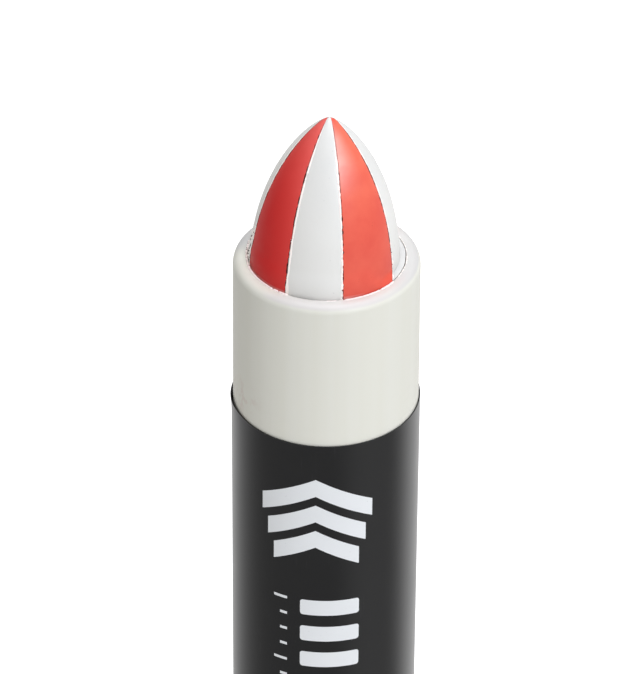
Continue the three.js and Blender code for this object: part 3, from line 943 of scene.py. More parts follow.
@dataclass
class LabelPrint:
    """White print on the film: chevrons towards the tip, a column of bars and a scale."""

    surface: float = 9.502 * MM
    ink: float = 0.012 * MM
    chevron_middle: Point = (-0.95 * MM, 94.1 * MM)
    chevron_half: float = 5.9 * MM
    chevron_rise: float = 3.1 * MM
    chevron_stroke: float = 2.1 * MM
    chevron_pitch: float = 3.2 * MM
    chevron_count: int = 3
    chevron_shrink: float = 0.12
    bar_left: float = -2.5 * MM
    bar_right: float = 3.6 * MM
    bar_height: float = 1.9 * MM
    bar_pitch: float = 3.35 * MM
    bar_round: float = 0.3 * MM
    bar_segments: int = 6
    scale_foot: float = 28.0 * MM
    scale_top: float = 82.0 * MM
    tick_left: float = -5.4 * MM
    tick_widths: tuple[float, ...] = (1.5 * MM, 0.8 * MM, 0.8 * MM, 0.8 * MM)
    tick_stroke: float = 0.32 * MM
    tick_pitch: float = 2.0 * MM
    slice: float = 0.35 * MM
    crease_deg: float = 40.0

    def build(self) -> None:
        """Draws the shapes flat, slices them, wraps them round and thickens them."""
        mesh = bmesh.new()
        scale = self.scale_top - self.scale_foot
        for i in range(self.chevron_count):
            self._chevron(mesh, i)
        for i in range(int(scale / self.bar_pitch)):
            self._bar(mesh, self.scale_top - self.bar_pitch * i)
        for i in range(int(scale / self.tick_pitch)):
            width = self.tick_widths[i % len(self.tick_widths)]
            self._tick(mesh, self.scale_top - self.tick_pitch * i - self.tick_stroke / 2, width)
        self._slice_up(mesh)
        for vert in mesh.verts:
            vert.co = polar(self.surface, vert.co.x / self.surface, vert.co.z)
        for face in mesh.faces:
            middle = face.calc_center_median()
            if face.normal.dot(Vector((middle.x, middle.y, 0))) < 0:
                face.normal_flip()
        thicken(mesh, self.ink)
        put("label_print", mesh, Look.INK, "barrel", self.crease_deg)

    def _outline(self, mesh: BMesh, points: Iterable[Point]) -> BMFace:
        """Adds one flat shape, as arc length and height.

        Args:
            mesh: The mesh to draw in.
            points: The shape's corners.

        Returns:
            Its face.
        """
        return mesh.faces.new([mesh.verts.new((s, 0.0, z)) for s, z in points])

    def _box(self, mesh: BMesh, left: float, right: float, low: float, high: float) -> BMFace:
        """Adds one flat box between two arc lengths and two heights."""
        return self._outline(mesh, [(left, low), (right, low), (right, high), (left, high)])

    def _chevron(self, mesh: BMesh, index: int) -> None:
        """Draws one chevron, each one lower and narrower than the last.

        Args:
            mesh: The mesh to draw in.
            index: The chevron's number, from the tip down.
        """
        middle, top = self.chevron_middle
        half = self.chevron_half * (1.0 - self.chevron_shrink * index)
        high = top + self.chevron_pitch * (1 - index)
        side = high - self.chevron_rise * half / self.chevron_half
        stroke = self.chevron_stroke
        right, left = middle + half, middle - half
        self._outline(mesh, [(middle, high), (right, side), (right, side - stroke), (middle, high - stroke)])
        self._outline(mesh, [(middle, high), (middle, high - stroke), (left, side - stroke), (left, side)])

    def _bar(self, mesh: BMesh, top: float) -> None:
        """Draws one bar with rounded corners.

        Args:
            mesh: The mesh to draw in.
            top: The height of its upper edge.
        """
        face = self._box(mesh, self.bar_left, self.bar_right, top - self.bar_height, top)
        rounded(mesh, face.verts[:], self.bar_round, self.bar_segments)

    def _tick(self, mesh: BMesh, height: float, width: float) -> None:
        """Draws one tick of the scale.

        Args:
            mesh: The mesh to draw in.
            height: The height of its middle.
            width: How far it reaches to the left.
        """
        right, half = self.tick_left + self.tick_widths[0], self.tick_stroke / 2
        self._box(mesh, right - width, right, height - half, height + half)

    def _slice_up(self, mesh: BMesh) -> None:
        """Cuts the flat shapes into upright slices, so that they can bend.

        Args:
            mesh: The mesh that they are in.
        """
        bmesh.ops.remove_doubles(mesh, verts=mesh.verts[:], dist=MERGE / 2)
        reach = max(abs(v.co.x) for v in mesh.verts)
        place = -reach
        while place < reach:
            geom = mesh.verts[:] + mesh.edges[:] + mesh.faces[:]
            bmesh.ops.bisect_plane(mesh, geom=geom, plane_co=(place, 0, 0), plane_no=(1, 0, 0), dist=1e-8)
            place += self.slice


@dataclass
class TwistKnob:
    """The ribbed knob with its neck and boss.

    Attributes:
        gate_radii: The radii of the moulding mark in the foot's recess.
        gate_depth: How far that mark stands out.
        groove_share: A grip groove's share of the pitch.
        sinks: How far each step of a groove goes inwards, and its share of the depth.
    """

    radius: float = 9.68 * MM
    height: float = 12.0 * MM
    foot_round: float = 0.8 * MM
    shoulder_round: float = 0.4 * MM
    recess_radius: float = 6.2 * MM
    recess_depth: float = 0.6 * MM
    recess_draft: float = 0.05 * MM
    recess_round: float = 0.2 * MM
    recess_edge: float = 0.15 * MM
    gate_radii: tuple[float, ...] = (0.55 * MM, 0.7 * MM, 0.95 * MM, 1.1 * MM)
    gate_depth: float = 0.12 * MM
    neck_radius: float = 8.3 * MM
    neck_inner: float = 6.6 * MM
    neck_top: float = 20.3 * MM
    neck_round: float = 0.3 * MM
    neck_edge: float = 0.2 * MM
    bead_height: float = 14.5 * MM
    bead_half: float = 0.8 * MM
    bead_proud: float = 0.3 * MM
    seat_radius: float = 7.5 * MM
    seat_height: float = 18.4 * MM
    seat_half: float = 0.48 * MM
    boss_radius: float = 3.6 * MM
    boss_top: float = 16.5 * MM
    bore_radius: float = 2.3 * MM
    bore_floor: float = 5.9 * MM
    floor: float = 2.4 * MM
    grip_margin: float = 1.5 * MM
    grip_row: float = 0.3 * MM
    groove_count: int = 24
    groove_depth: float = 0.35 * MM
    groove_share: float = 0.52
    sinks: tuple[Point, ...] = ((0.1 * MM, 0.0), (0.12 * MM, 0.72), (0.12 * MM, 0.28))
    steps: int = 288
    round_segments: int = 6
    crease_deg: float = 50.0

    def build(self) -> None:
        """Spins the section, sinks the grip grooves and puts the knob in place."""
        grip_low, grip_high = self.grip_margin, self.height - self.grip_margin
        seat_low, seat_high = self.seat_height - self.seat_half, self.seat_height + self.seat_half
        bead_radius = self.neck_radius + self.bead_proud
        recess, mark = self.recess_depth, self.recess_depth - self.gate_depth
        corners = [Corner(0.0, recess)]
        corners += [Corner(r, z) for r, z in zip(self.gate_radii, (recess, mark, mark, recess))]
        corners += [
            Corner(self.recess_radius, recess, self.recess_round),
            Corner(self.recess_radius + self.recess_draft, 0.0, self.recess_edge),
            Corner(self.radius, 0.0, self.foot_round),
            Corner(self.radius, grip_low),
            Corner(self.radius, grip_low + self.grip_row),
            Corner(self.radius, grip_high - self.grip_row),
            Corner(self.radius, grip_high),
            Corner(self.radius, self.height, self.shoulder_round),
            Corner(self.neck_radius, self.height),
            Corner(self.neck_radius, self.bead_height - self.bead_half),
            Corner(bead_radius, self.bead_height - self.bead_half / 2),
            Corner(bead_radius, self.bead_height),
            Corner(self.neck_radius, self.bead_height + self.bead_half),
            Corner(self.neck_radius, seat_low),
            Corner(self.seat_radius, seat_low),
            Corner(self.seat_radius, seat_high),
            Corner(self.neck_radius, seat_high),
            Corner(self.neck_radius, self.neck_top, self.neck_round),
            Corner(self.neck_inner, self.neck_top, self.neck_edge),
            Corner(self.neck_inner, self.floor),
            Corner(self.boss_radius, self.floor),
            Corner(self.boss_radius, self.boss_top),
            Corner(self.bore_radius, self.boss_top),
            Corner(self.bore_radius, self.bore_floor),
            Corner(0.0, self.bore_floor),
        ]
        mesh = turned(corners, self.steps, self.round_segments)
        half = math.tau / self.groove_count * self.groove_share / 2
        faces = strips(mesh, self.radius, (grip_low, grip_high), self.groove_count, half)
        for inset, share in self.sinks:
            depth = -self.groove_depth * share
            bmesh.ops.inset_region(mesh, faces=faces, thickness=inset, depth=depth, use_boundary=True)
        piece = put("knob_grip", mesh, Look.KNOB, "knob", self.crease_deg)
        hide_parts("twist_knob")


@dataclass
class PaintStick:
    """The pointed stick, pressed together from wedges of red and white paint.

    Attributes:
        wedges: Each wedge's name in the CAD and the angle of the seam before it.
        meet: The point beside the axis where all the seams meet.
        shift: How far the stick stands off the barrel's axis.
        lean: Its sideways lean above the rim, as a slope.
        wiped: The radius of the paint that the mouth has wiped, from the barrel's axis.
        crown: The radii between which the seams bend for the white cap on the tip.
        crown_half: Half the width of the white bridge over the tip.
        crown_degrees: Where the other seams go there.
        dull_wedge: The wedge that shines less.
        ledge_wedge: The wedge whose wiped paint lies as a flat ledge in the mouth.
        ledge_fall: How high the ledge climbs up the stick.
        swell_fall: How high the swelling elsewhere climbs, and short_fall beside the ledge.
        short_from: Where the swelling starts to be short, and is.
        straight: Up to where the paint is pressed straight to the front, and where not at all.
        gap: How far the wiped paint stays back at the angle gap_angle.
    """

    rim: float = 118.0 * MM
    foot: float = 85.1 * MM
    shoulder: float = 91.9 * MM
    tip: float = 134.27 * MM
    radius: float = 7.55 * MM
    foot_radius: float = 6.65 * MM
    ogive: float = 20.36 * MM
    fullness: float = 2.57
    bluntness: float = 0.794
    wedges: tuple[tuple[str, float], ...] = (
        ("red_4", -76.0), ("white_1", -29.0), ("red_1", 12.8), ("white_2", 60.8),
        ("red_2", 118.0), ("white_3", 154.0), ("red_3", 194.0), ("white_4", 240.0),
    )
    meet: Vector = field(default_factory=lambda: Vector((0.08 * MM, 0.44 * MM)))
    shift: Vector = field(default_factory=lambda: Vector((-0.24 * MM, -0.17 * MM)))
    lean: float = 0.023
    settle: float = 12.0 * MM
    wiped: float = 7.81 * MM
    wiped_depth: float = 1.2 * MM
    wiped_top: float = 0.04 * MM
    wipe_fade: float = 0.5 * MM
    crown: Point = (0.45 * MM, 1.1 * MM)
    crown_half: float = 0.28 * MM
    crown_degrees: tuple[Optional[float], ...] = (-120.0, None, None, 122.0, 132.0, 180.0, 180.0, 230.0)
    crown_wedge: str = "white_3"
    dull_wedge: str = "red_4"
    ledge_wedge: str = "white_2"
    ledge_share: float = 0.2
    ledge_fall: float = 0.28 * MM
    swell_fall: float = 3.0 * MM
    short_fall: float = 0.8 * MM
    short_from: Point = span(30.0, 52.0)
    short_end: float = math.radians(110.0)
    straight: Point = span(62.0, 96.0)
    gap: float = 0.065 * MM
    gap_angle: float = math.radians(-17.0)
    gap_half: float = 0.25
    coarse_row: float = 1.2 * MM
    row: float = 0.14 * MM
    row_depth: float = 21.0 * MM
    fine_row: float = 0.05 * MM
    fine_margin: float = 0.6 * MM
    tip_margin: float = 0.5 * MM
    tip_rows: tuple[float, ...] = (0.36 * MM, 0.24 * MM, 0.14 * MM, 0.07 * MM, 0.025 * MM)
    skin_depth: float = 0.1 * MM
    seam: float = 0.03 * MM
    nick: float = 0.045 * MM
    nick_drop: float = 1.3
    nick_reach: float = 7.0 * MM
    nick_radius: float = 3.0 * MM
    wave: float = 0.01 * MM
    edge_reach: float = 0.16 * MM
    edge_drop: float = 0.012 * MM
    edge_deg: float = 1.8
    edge_steps: int = 3
    middle_steps: int = 14
    crease_deg: float = 60.0

    def build(self) -> None:
        """Builds each wedge in its place."""
        for i, (name, _) in enumerate(self.wedges):
            look = Look.RED if name.startswith("red") else Look.WHITE
            look = Look.DULL_RED if name == self.dull_wedge else look
            piece = put(f"stick_{name}", self._wedge(i), look, "stick", self.crease_deg)
            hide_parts(f"paint_wedge_{name}")

    def radius_at(self, height: float) -> float:
        """The stick's radius at a height above its shoulder."""
        share = min((self.tip - height) / self.ogive, 1.0)
        return self.radius * (1.0 - (1.0 - share) ** self.fullness) ** self.bluntness

    def seam_angle(self, index: int, radius: float) -> float:
        """Where a seam meets a circle round the stick's axis.

        Args:
            index: The seam's number, up to one past the last wedge.
            radius: The circle's radius.

        Returns:
            The angle from the front. A seam that misses the circle has the angle
            behind the meeting point.
        """
        turns, place = divmod(index, len(self.wedges))
        radius = max(radius, 1e-6)
        angle = math.radians(self.wedges[place][1])
        away = turned_by(angle, around(-self.meet.x, -self.meet.y))
        aside = self.meet.length * math.sin(away) / radius
        missed = abs(aside) >= 1.0 or (math.cos(away) < 0.0 and radius < self.meet.length)
        angle += math.copysign(math.pi, away) - away if missed else math.asin(aside)
        if self.crown_degrees[place] is not None:
            near, far = self.crown
            bridge = math.asin(min(self.crown_half / radius, math.sin(math.radians(42.0))))
            before, after = self.wedges[place - 1][0], self.wedges[place][0]
            side = (before == self.crown_wedge) - (after == self.crown_wedge)
            goal = math.radians(self.crown_degrees[place]) + bridge * side
            angle += (goal - angle) * smooth((far - radius) / (far - near))
        return angle + turns * math.tau

    def axis_at(self, height: float) -> Vector:
        """The place of the stick's axis at a height."""
        place = self.shift * held((height - self.shoulder) / self.settle)
        return Vector((place.x + self.lean * max(height - self.rim, 0.0), place.y, 0.0))

    def inside(self, flat: float, angle: float, height: float) -> Vector:
        """The place of a point inside the stick, from its distance and angle from the axis."""
        return polar(flat, angle, height) + self.axis_at(height)

    def skin(self, flat: float, angle: float, height: float, ledge: float = 0.0) -> Vector:
        """The place of a point on the stick's skin, after the mouth has wiped it.

        Args:
            flat: The distance from the stick's axis before the wipe.
            angle: The angle from the front.
            height: The height.
            ledge: How much it belongs to the ledge, 0 to 1.

        Returns:
            The place.
        """
        return self._wipe(self.inside(flat, angle, height), ledge)

    def _heights(self) -> list[float]:
        """The rows' heights from the shoulder to just under the tip, finer near the rim."""
        heights = [self.shoulder]
        fine_low = self.rim - self.wiped_depth - self.fine_margin
        coarse_top = min(self.tip - self.row_depth, fine_low) - self.coarse_row
        while heights[-1] < self.tip - self.tip_margin:
            last = heights[-1]
            step = self.fine_row if fine_low < last < self.rim + self.fine_margin else self.row
            heights.append(last + (self.coarse_row if last < coarse_top else step))
        return heights + [self.tip - depth for depth in self.tip_rows]

    def _wedge(self, index: int) -> BMesh:
        """Spins an even wedge from its section, then fits it between its seams.

        Args:
            index: The wedge's number.

        Returns:
            The closed wedge.
        """
        mesh = bmesh.new()
        points = [(0.0, self.foot), (self.foot_radius, self.foot), (self.foot_radius, self.shoulder)]
        points += [(self.radius_at(h), h) for h in self._heights()]
        points += [(0.0, self.tip)]
        mesh.faces.new([mesh.verts.new((r, 0.0, z)) for r, z in points])
        turn(mesh, mesh.verts[:], FRONT)
        geom = mesh.verts[:] + mesh.edges[:] + mesh.faces[:]
        even = math.tau / len(self.wedges)
        edge = (math.radians(self.edge_deg), self.edge_steps)
        for angle, steps in (edge, (even - 2 * edge[0], self.middle_steps), edge):
            made = bmesh.ops.spin(
                mesh, geom=geom, cent=(0, 0, 0), axis=(0, 0, 1), angle=angle, steps=steps, use_merge=False
            )
            geom = made["geom_last"]
        tidy(mesh)
        for vert in mesh.verts:
            self._fit(vert, index, even)
        face_out(mesh)
        return mesh

    def _fit(self, vert: BMVert, index: int, even: float) -> None:
        """Moves one vertex of the even wedge to its place on the weathered stick.

        Args:
            vert: The vertex.
            index: The wedge's number.
            even: The even wedge's angle.
        """
        flat, height = math.hypot(vert.co.x, vert.co.y), vert.co.z
        share = held(around(vert.co.x, vert.co.y) / even) if flat > 1e-7 else 0.5
        first, last = self.seam_angle(index, flat), self.seam_angle(index + 1, flat)
        angle = first + (last - first) * share
        exposed = height > self.shoulder - 0.01 * MM
        outer = exposed and flat > self.radius_at(height) - self.skin_depth
        if exposed and flat > 0.02 * MM:
            side = 1 if share > 0.5 else -1
            to_seam = abs((last if side > 0 else first) - angle) * flat
            nick = self.nick * self._nick(index + (side + 1) // 2, side, height)
            nick *= min(flat / self.nick_radius, 1.0)
            edge = max(0.0, 1.0 - to_seam / self.edge_reach)
            angle -= side * edge * (self.seam / 2 + nick) / max(flat, 0.2 * MM)
            if outer:
                flat += self.wave * rough(vert.co.x * 220, vert.co.y * 220, height * 160 + index)
                flat -= (self.edge_drop + self.nick_drop * nick) * edge
        ledge = 0.0
        if self.wedges[index][0] == self.ledge_wedge:
            ledge = smooth((1.0 - share) / self.ledge_share)
        vert.co = self.skin(flat, angle, height, ledge) if outer else self.inside(flat, angle, height)

    def _nick(self, seam: int, side: int, height: float) -> float:
        """How deep a seam's edge is nicked, 0 for not at all.

        Args:
            seam: The seam's number.
            side: The side of the wedge that it is on.
            height: The height.

        Returns:
            The share of a full nick, more towards the rim.
        """
        fine = rough(seam * 7.3 + side * 3.1, height * 2600, 0.0)
        slow = rough(seam * 5.9 + side, height * 700, 5.0)
        low = 1.0 + 1.2 * held((self.rim + self.nick_reach - height) / self.nick_reach)
        return max(0.0, fine - 0.18 + 0.25 * slow) * low

    def _wipe(self, spot: Vector, ledge: float) -> Vector:
        """Spreads the skin out to the mouth just under the rim, where the mouth wipes it.

        Args:
            spot: The place on the stick's skin.
            ledge: How much it belongs to the ledge, 0 to 1.

        Returns:
            The place after the wipe.
        """
        angle = around(spot.x, spot.y)
        ragged = rough(spot.x * 900, spot.y * 900, 2.0)
        coarse = rough(spot.x * 260, spot.y * 260, 9.0)
        target = self.wiped + min(0.03 * ragged + 0.035 * coarse - 0.02, 0.03) * MM
        target -= self.gap * smooth(1.0 - abs(turned_by(angle, self.gap_angle)) / self.gap_half)
        if math.hypot(spot.x, spot.y) >= target:
            return spot
        first, last = self.short_from
        short = smooth((angle - first) / (last - first)) if angle < self.short_end else 0.0
        fall = self.swell_fall + (self.short_fall - self.swell_fall) * short
        fall += (self.ledge_fall - fall) * ledge
        low, high = self.rim - self.wiped_depth, self.rim - self.wiped_top
        share = smooth((spot.z - low + self.wipe_fade) / self.wipe_fade)
        share *= smooth((high + fall - spot.z) / fall) ** (1.0 + ledge)
        ahead, none = self.straight
        drag = 0.0
        if 0.0 < angle < none:
            drag = (math.asin(spot.x / target) - angle) * (1.0 - smooth((angle - ahead) / (none - ahead)))
        return spot.lerp(polar(target, angle + drag, spot.z), share)


@dataclass(frozen=True)
class Thread:
    """One kind of fine thread along the seams.

    Attributes:
        name: The piece's name.
        look: Its finish.
        aside: How far it lies from the seam, towards the white.
        width: Its half width.
        height: How far it stands out.
        gaps: How much of it is missing, 0 or less for little.
        spare: How much more of it is missing, for each seam that differs.
        lumps: How much it swells near its foot, for each seam that differs.
    """

    name: str
    look: Look
    aside: float
    width: float
    height: float
    gaps: float
    spare: dict[int, float]
    lumps: dict[int, float]


GRIME_THREAD = Thread(
    "seam_grime", Look.GRIME, -0.055 * MM, 0.075 * MM, 0.03 * MM, 0.22,
    spare={2: 0.3}, lumps={1: 1.0, 2: -0.5, 3: -0.6},
)
# The burr glows a little: painted light.
BURR_THREAD = Thread(
    "seam_burr", Look.GLOWING_BURR, 0.085 * MM, 0.1 * MM, 0.055 * MM, -0.1,
    spare={2: 0.3, 3: 0.35}, lumps={0: 1.5, 2: 0.2},
)


@dataclass
class SeamThreads:
    """Grime in the joints of the stick, and the burr that the white paint left beside them, which glows a
    little as painted light.
    """

    kinds: tuple[Thread, ...] = (GRIME_THREAD, BURR_THREAD)
    foot: float = 117.3 * MM
    head: float = 0.45 * MM
    lump: float = 0.7
    lump_top: float = 6.0 * MM
    lump_fade: float = 4.0 * MM
    sink: float = 0.012 * MM
    sway: float = 0.03 * MM
    full_radius: float = 4.0 * MM
    steps: int = 520
    sides: int = 8
    crease_deg: float = 80.0

    def build(self, stick: PaintStick) -> None:
        """Lays each kind of thread along all the seams.

        Args:
            stick: The stick that carries them.
        """
        for kind in self.kinds:
            for seam in range(len(stick.wedges)):
                mesh = self._thread(stick, kind, seam)
                put(f"{kind.name}_{seam + 1}", mesh, kind.look, "stick", self.crease_deg)

    def _thread(self, stick: PaintStick, kind: Thread, seam: int) -> BMesh:
        """Bends one cylinder along a seam.

        Args:
            stick: The stick.
            kind: The thread's kind.
            seam: The seam's number.

        Returns:
            The closed thread.
        """
        mesh = cord(self.sides, self.steps)
        white = 1.0 if stick.wedges[seam][0].startswith("white") else -1.0
        top = stick.tip - self.head
        gaps = kind.gaps + kind.spare.get(seam, 0.0)
        swelling = kind.lumps.get(seam, self.lump)
        for vert in mesh.verts:
            height = self.foot + (top - self.foot) * (vert.co.z + 0.5)
            fine = rough(seam * 4.7, height * 3100, kind.aside * 9000)
            slow = rough(seam * 8.3, height * 800, kind.aside * 9000)
            flat = stick.radius_at(height)
            low = smooth((self.foot + self.lump_top - height) / self.lump_fade)
            lump = 1.0 + swelling * low * smooth((slow + 0.1) * 4.0)
            full = patchy(0.75 * fine + 0.6 * slow + 0.42, gaps)
            share = (0.25 + 0.75 * full) * min(flat / self.full_radius, 1.0) * lump
            sway = self.sway * rough(seam * 6.1, height * 1500, 3.0)
            across = white * kind.aside * (0.4 + 0.6 * lump) + sway + vert.co.x * kind.width * share
            reach = flat - self.sink + vert.co.y * kind.height * share
            vert.co = stick.skin(reach, stick.seam_angle(seam, flat) + across / flat, height)
        face_out(mesh)
        return mesh


@dataclass(frozen=True)
class Smear:
    """One smear of paint along the mouth's edge.

    Attributes:
        name: The piece's name.
        look: Its finish.
        ends: Where it starts and ends, from the front.
        radius: Its middle line's distance from the axis.
        width: Its half width.
        height: Its half height.
        gaps: How much of it is missing, 0 for none.
    """

    name: str
    look: Look
    ends: Point
    radius: float
    width: float
    height: float
    gaps: float = 0.0


@dataclass
class MouthSmears:
    """Paint that the stick left on the edge of the barrel's mouth, glowing a little as painted light."""

    kinds: tuple[Smear, ...] = (
        Smear("smear_gap", Look.GLOWING_SMEAR, span(-116.0, -72.0), 7.945 * MM, 0.11 * MM, 0.16 * MM),
        Smear("smear_left", Look.GLOWING_SMEAR, span(-76.0, -28.0), 7.98 * MM, 0.135 * MM, 0.12 * MM),
        Smear("smear_front", Look.GLOWING_SMEAR, span(-8.0, 12.0), 7.94 * MM, 0.07 * MM, 0.03 * MM, 0.25),
        Smear("smear_right", Look.GLOWING_SMEAR, span(12.0, 57.0), 7.965 * MM, 0.11 * MM, 0.09 * MM),
        Smear("smear_ledge", Look.GLOWING_BURR, span(58.0, 150.0), 7.925 * MM, 0.08 * MM, 0.05 * MM, 0.38),
        Smear("smear_back", Look.GLOWING_SMEAR, span(150.0, 246.0), 7.95 * MM, 0.09 * MM, 0.06 * MM, 0.3),
    )
    rim: float = 118.0 * MM
    taper: float = 0.04
    sink: float = 0.01 * MM
    steps: int = 420
    sides: int = 8
    crease_deg: float = 80.0

    def build(self) -> None:
        """Lays each smear on the barrel."""
        for smear in self.kinds:
            put(smear.name, self._smear(smear), smear.look, "barrel", self.crease_deg)

    def _smear(self, smear: Smear) -> BMesh:
        """Bends one cylinder along the mouth's edge.

        Args:
            smear: The smear's place and size.

        Returns:
            The closed smear.
        """
        mesh = cord(self.sides, self.steps)
        start, end = smear.ends
        for vert in mesh.verts:
            along = vert.co.z + 0.5
            angle = start + (end - start) * along
            path = polar(1.0, angle)
            fine = noise.noise(path * 26.0)
            slow = noise.noise(path * 7.0 + Vector((3.0, 0.0, 0.0)))
            full = patchy(0.8 * fine + 0.6 * slow + 0.4, smear.gaps)
            tapered = smooth(min(along, 1.0 - along) / self.taper)
            share = (0.2 + 0.8 * full) * (0.1 + 0.9 * tapered)
            reach = smear.radius + smear.width * (vert.co.x * share + 0.25 * (share - 1.0))
            lift = smear.height * vert.co.y * share - self.sink
            vert.co = polar(reach, angle, self.rim + lift)
        face_out(mesh)
        return mesh


@dataclass(frozen=True)
class Cluster:
    """One scattering of crumbs.

    Attributes:
        name: The piece's name.
        look: Its finish.
        body: The body that it rides on.
        count: How many crumbs it has.
        sizes: Their least and greatest radius.
        heights: How far above the rim they lie.
        seed: What sets this scattering apart.
        angles: Between which angles they lie, or None for along the seams.
        seam: The only seam that has them, or None for all.
        stretch: How much taller than wide they are.
    """

    name: str
    look: Look
    body: str
    count: int
    sizes: Point
    heights: Point
    seed: float
    angles: Optional[Point] = None
    seam: Optional[int] = None
    stretch: float = 1.5


@dataclass
class PaintCrumbs:
    """Crumbs of paint along the seams near the mouth and in its gap."""

    clusters: tuple[Cluster, ...] = (
        Cluster(
            "crumbs_white", Look.WHITE, "stick", 34,
            (0.025 * MM, 0.075 * MM), (-0.3 * MM, 9.0 * MM), 3.7,
        ),
        Cluster(
            "crumbs_dark", Look.GRIME, "stick", 30,
            (0.02 * MM, 0.055 * MM), (-0.2 * MM, 6.0 * MM), 8.2,
        ),
        Cluster(
            "crumbs_clot", Look.GRIME, "stick", 9,
            (0.045 * MM, 0.065 * MM), (1.85 * MM, 3.35 * MM), 1.3, seam=2, stretch=4.0,
        ),
        Cluster(
            "crumbs_left_dark", Look.GRIME, "stick", 16,
            (0.04 * MM, 0.085 * MM), (0.2 * MM, 3.4 * MM), 5.1, span(-89.0, -80.0),
        ),
        Cluster(
            "crumbs_left_pale", Look.GLOWING_BURR, "stick", 30,
            (0.04 * MM, 0.1 * MM), (0.1 * MM, 4.0 * MM), 6.4, span(-92.0, -79.0),
        ),
        Cluster(
            "crumbs_mouth_pale", Look.GLOWING_SMEAR, "barrel", 34,
            (0.06 * MM, 0.12 * MM), (0.02 * MM, 0.2 * MM), 9.6, span(-114.0, -74.0), stretch=0.8,
        ),
        Cluster(
            "crumbs_mouth_dark", Look.GRIME, "barrel", 9,
            (0.04 * MM, 0.08 * MM), (0.05 * MM, 0.2 * MM), 2.9, span(-106.0, -84.0), stretch=0.8,
        ),
    )
    rim: float = 118.0 * MM
    mouth: float = 7.97 * MM
    mouth_stray: float = 0.06 * MM
    stray: float = 0.02
    close_stray: float = 0.006
    lumpiness: float = 0.45
    crease_deg: float = 80.0

    def build(self, stick: PaintStick) -> None:
        """Strews small rounded grains in each cluster.

        Args:
            stick: The stick that most of them lie on.
        """
        for cluster in self.clusters:
            mesh = bmesh.new()
            for i in range(cluster.count):
                self._crumb(mesh, stick, cluster, i)
            put(cluster.name, mesh, cluster.look, cluster.body, self.crease_deg)

    def _crumb(self, mesh: BMesh, stick: PaintStick, cluster: Cluster, index: int) -> None:
        """Adds one lumpy grain.

        Args:
            mesh: The cluster's mesh.
            stick: The stick.
            cluster: The cluster.
            index: The grain's number.
        """
        seed = cluster.seed
        small, large = cluster.sizes
        size = small + (large - small) * held(rough(index * 1.37 + seed, 0.4, seed) + 0.5) ** 2
        centre = self._centre(stick, cluster, index, size)
        made = bmesh.ops.create_icosphere(mesh, subdivisions=2, radius=size)
        for vert in made["verts"]:
            lump = noise.noise(vert.co.normalized() * 1.7 + Vector((index, seed, 0)))
            vert.co *= 1.0 + self.lumpiness * lump
            vert.co.z *= cluster.stretch
            vert.co += centre

    def _centre(self, stick: PaintStick, cluster: Cluster, index: int, size: float) -> Vector:
        """Where a grain lies.

        Args:
            stick: The stick.
            cluster: The grain's cluster.
            index: Its number.
            size: Its radius.

        Returns:
            Its middle.
        """
        up = held(rough(index * 2.11 + cluster.seed, 7.4, cluster.seed) + 0.5)
        aside = rough(index * 0.73 + cluster.seed, 3.9, cluster.seed)
        low, high = cluster.heights
        first, last = cluster.angles or (0.0, 0.0)
        if cluster.body == "barrel":
            angle = first + (last - first) * (index + 0.5) / cluster.count
            return polar(self.mouth + self.mouth_stray * aside, angle, self.rim + low + (high - low) * up)
        spread = cluster.angles is None and cluster.seam is None
        height = self.rim + low + (high - low) * (up ** 2.2 if spread else up)
        reach = stick.radius_at(height) - size * 0.2
        if cluster.angles is None:
            seam = index % len(stick.wedges) if spread else cluster.seam
            angle = stick.seam_angle(seam, reach) + aside * (self.stray if spread else self.close_stray)
        else:
            angle = first + (last - first) * held(aside + 0.5)
        return stick.skin(reach, angle, height)


# Studio


@dataclass(frozen=True)
class SoftBox:
    """One square soft box.

    Attributes:
        name: Its name.
        place: Where it hangs.
        size: The side of its square.
        power: Its power in watts.
        colour: Its colour.
    """

    name: str
    place: tuple[float, float, float]
    size: float
    power: float
    colour: Colour


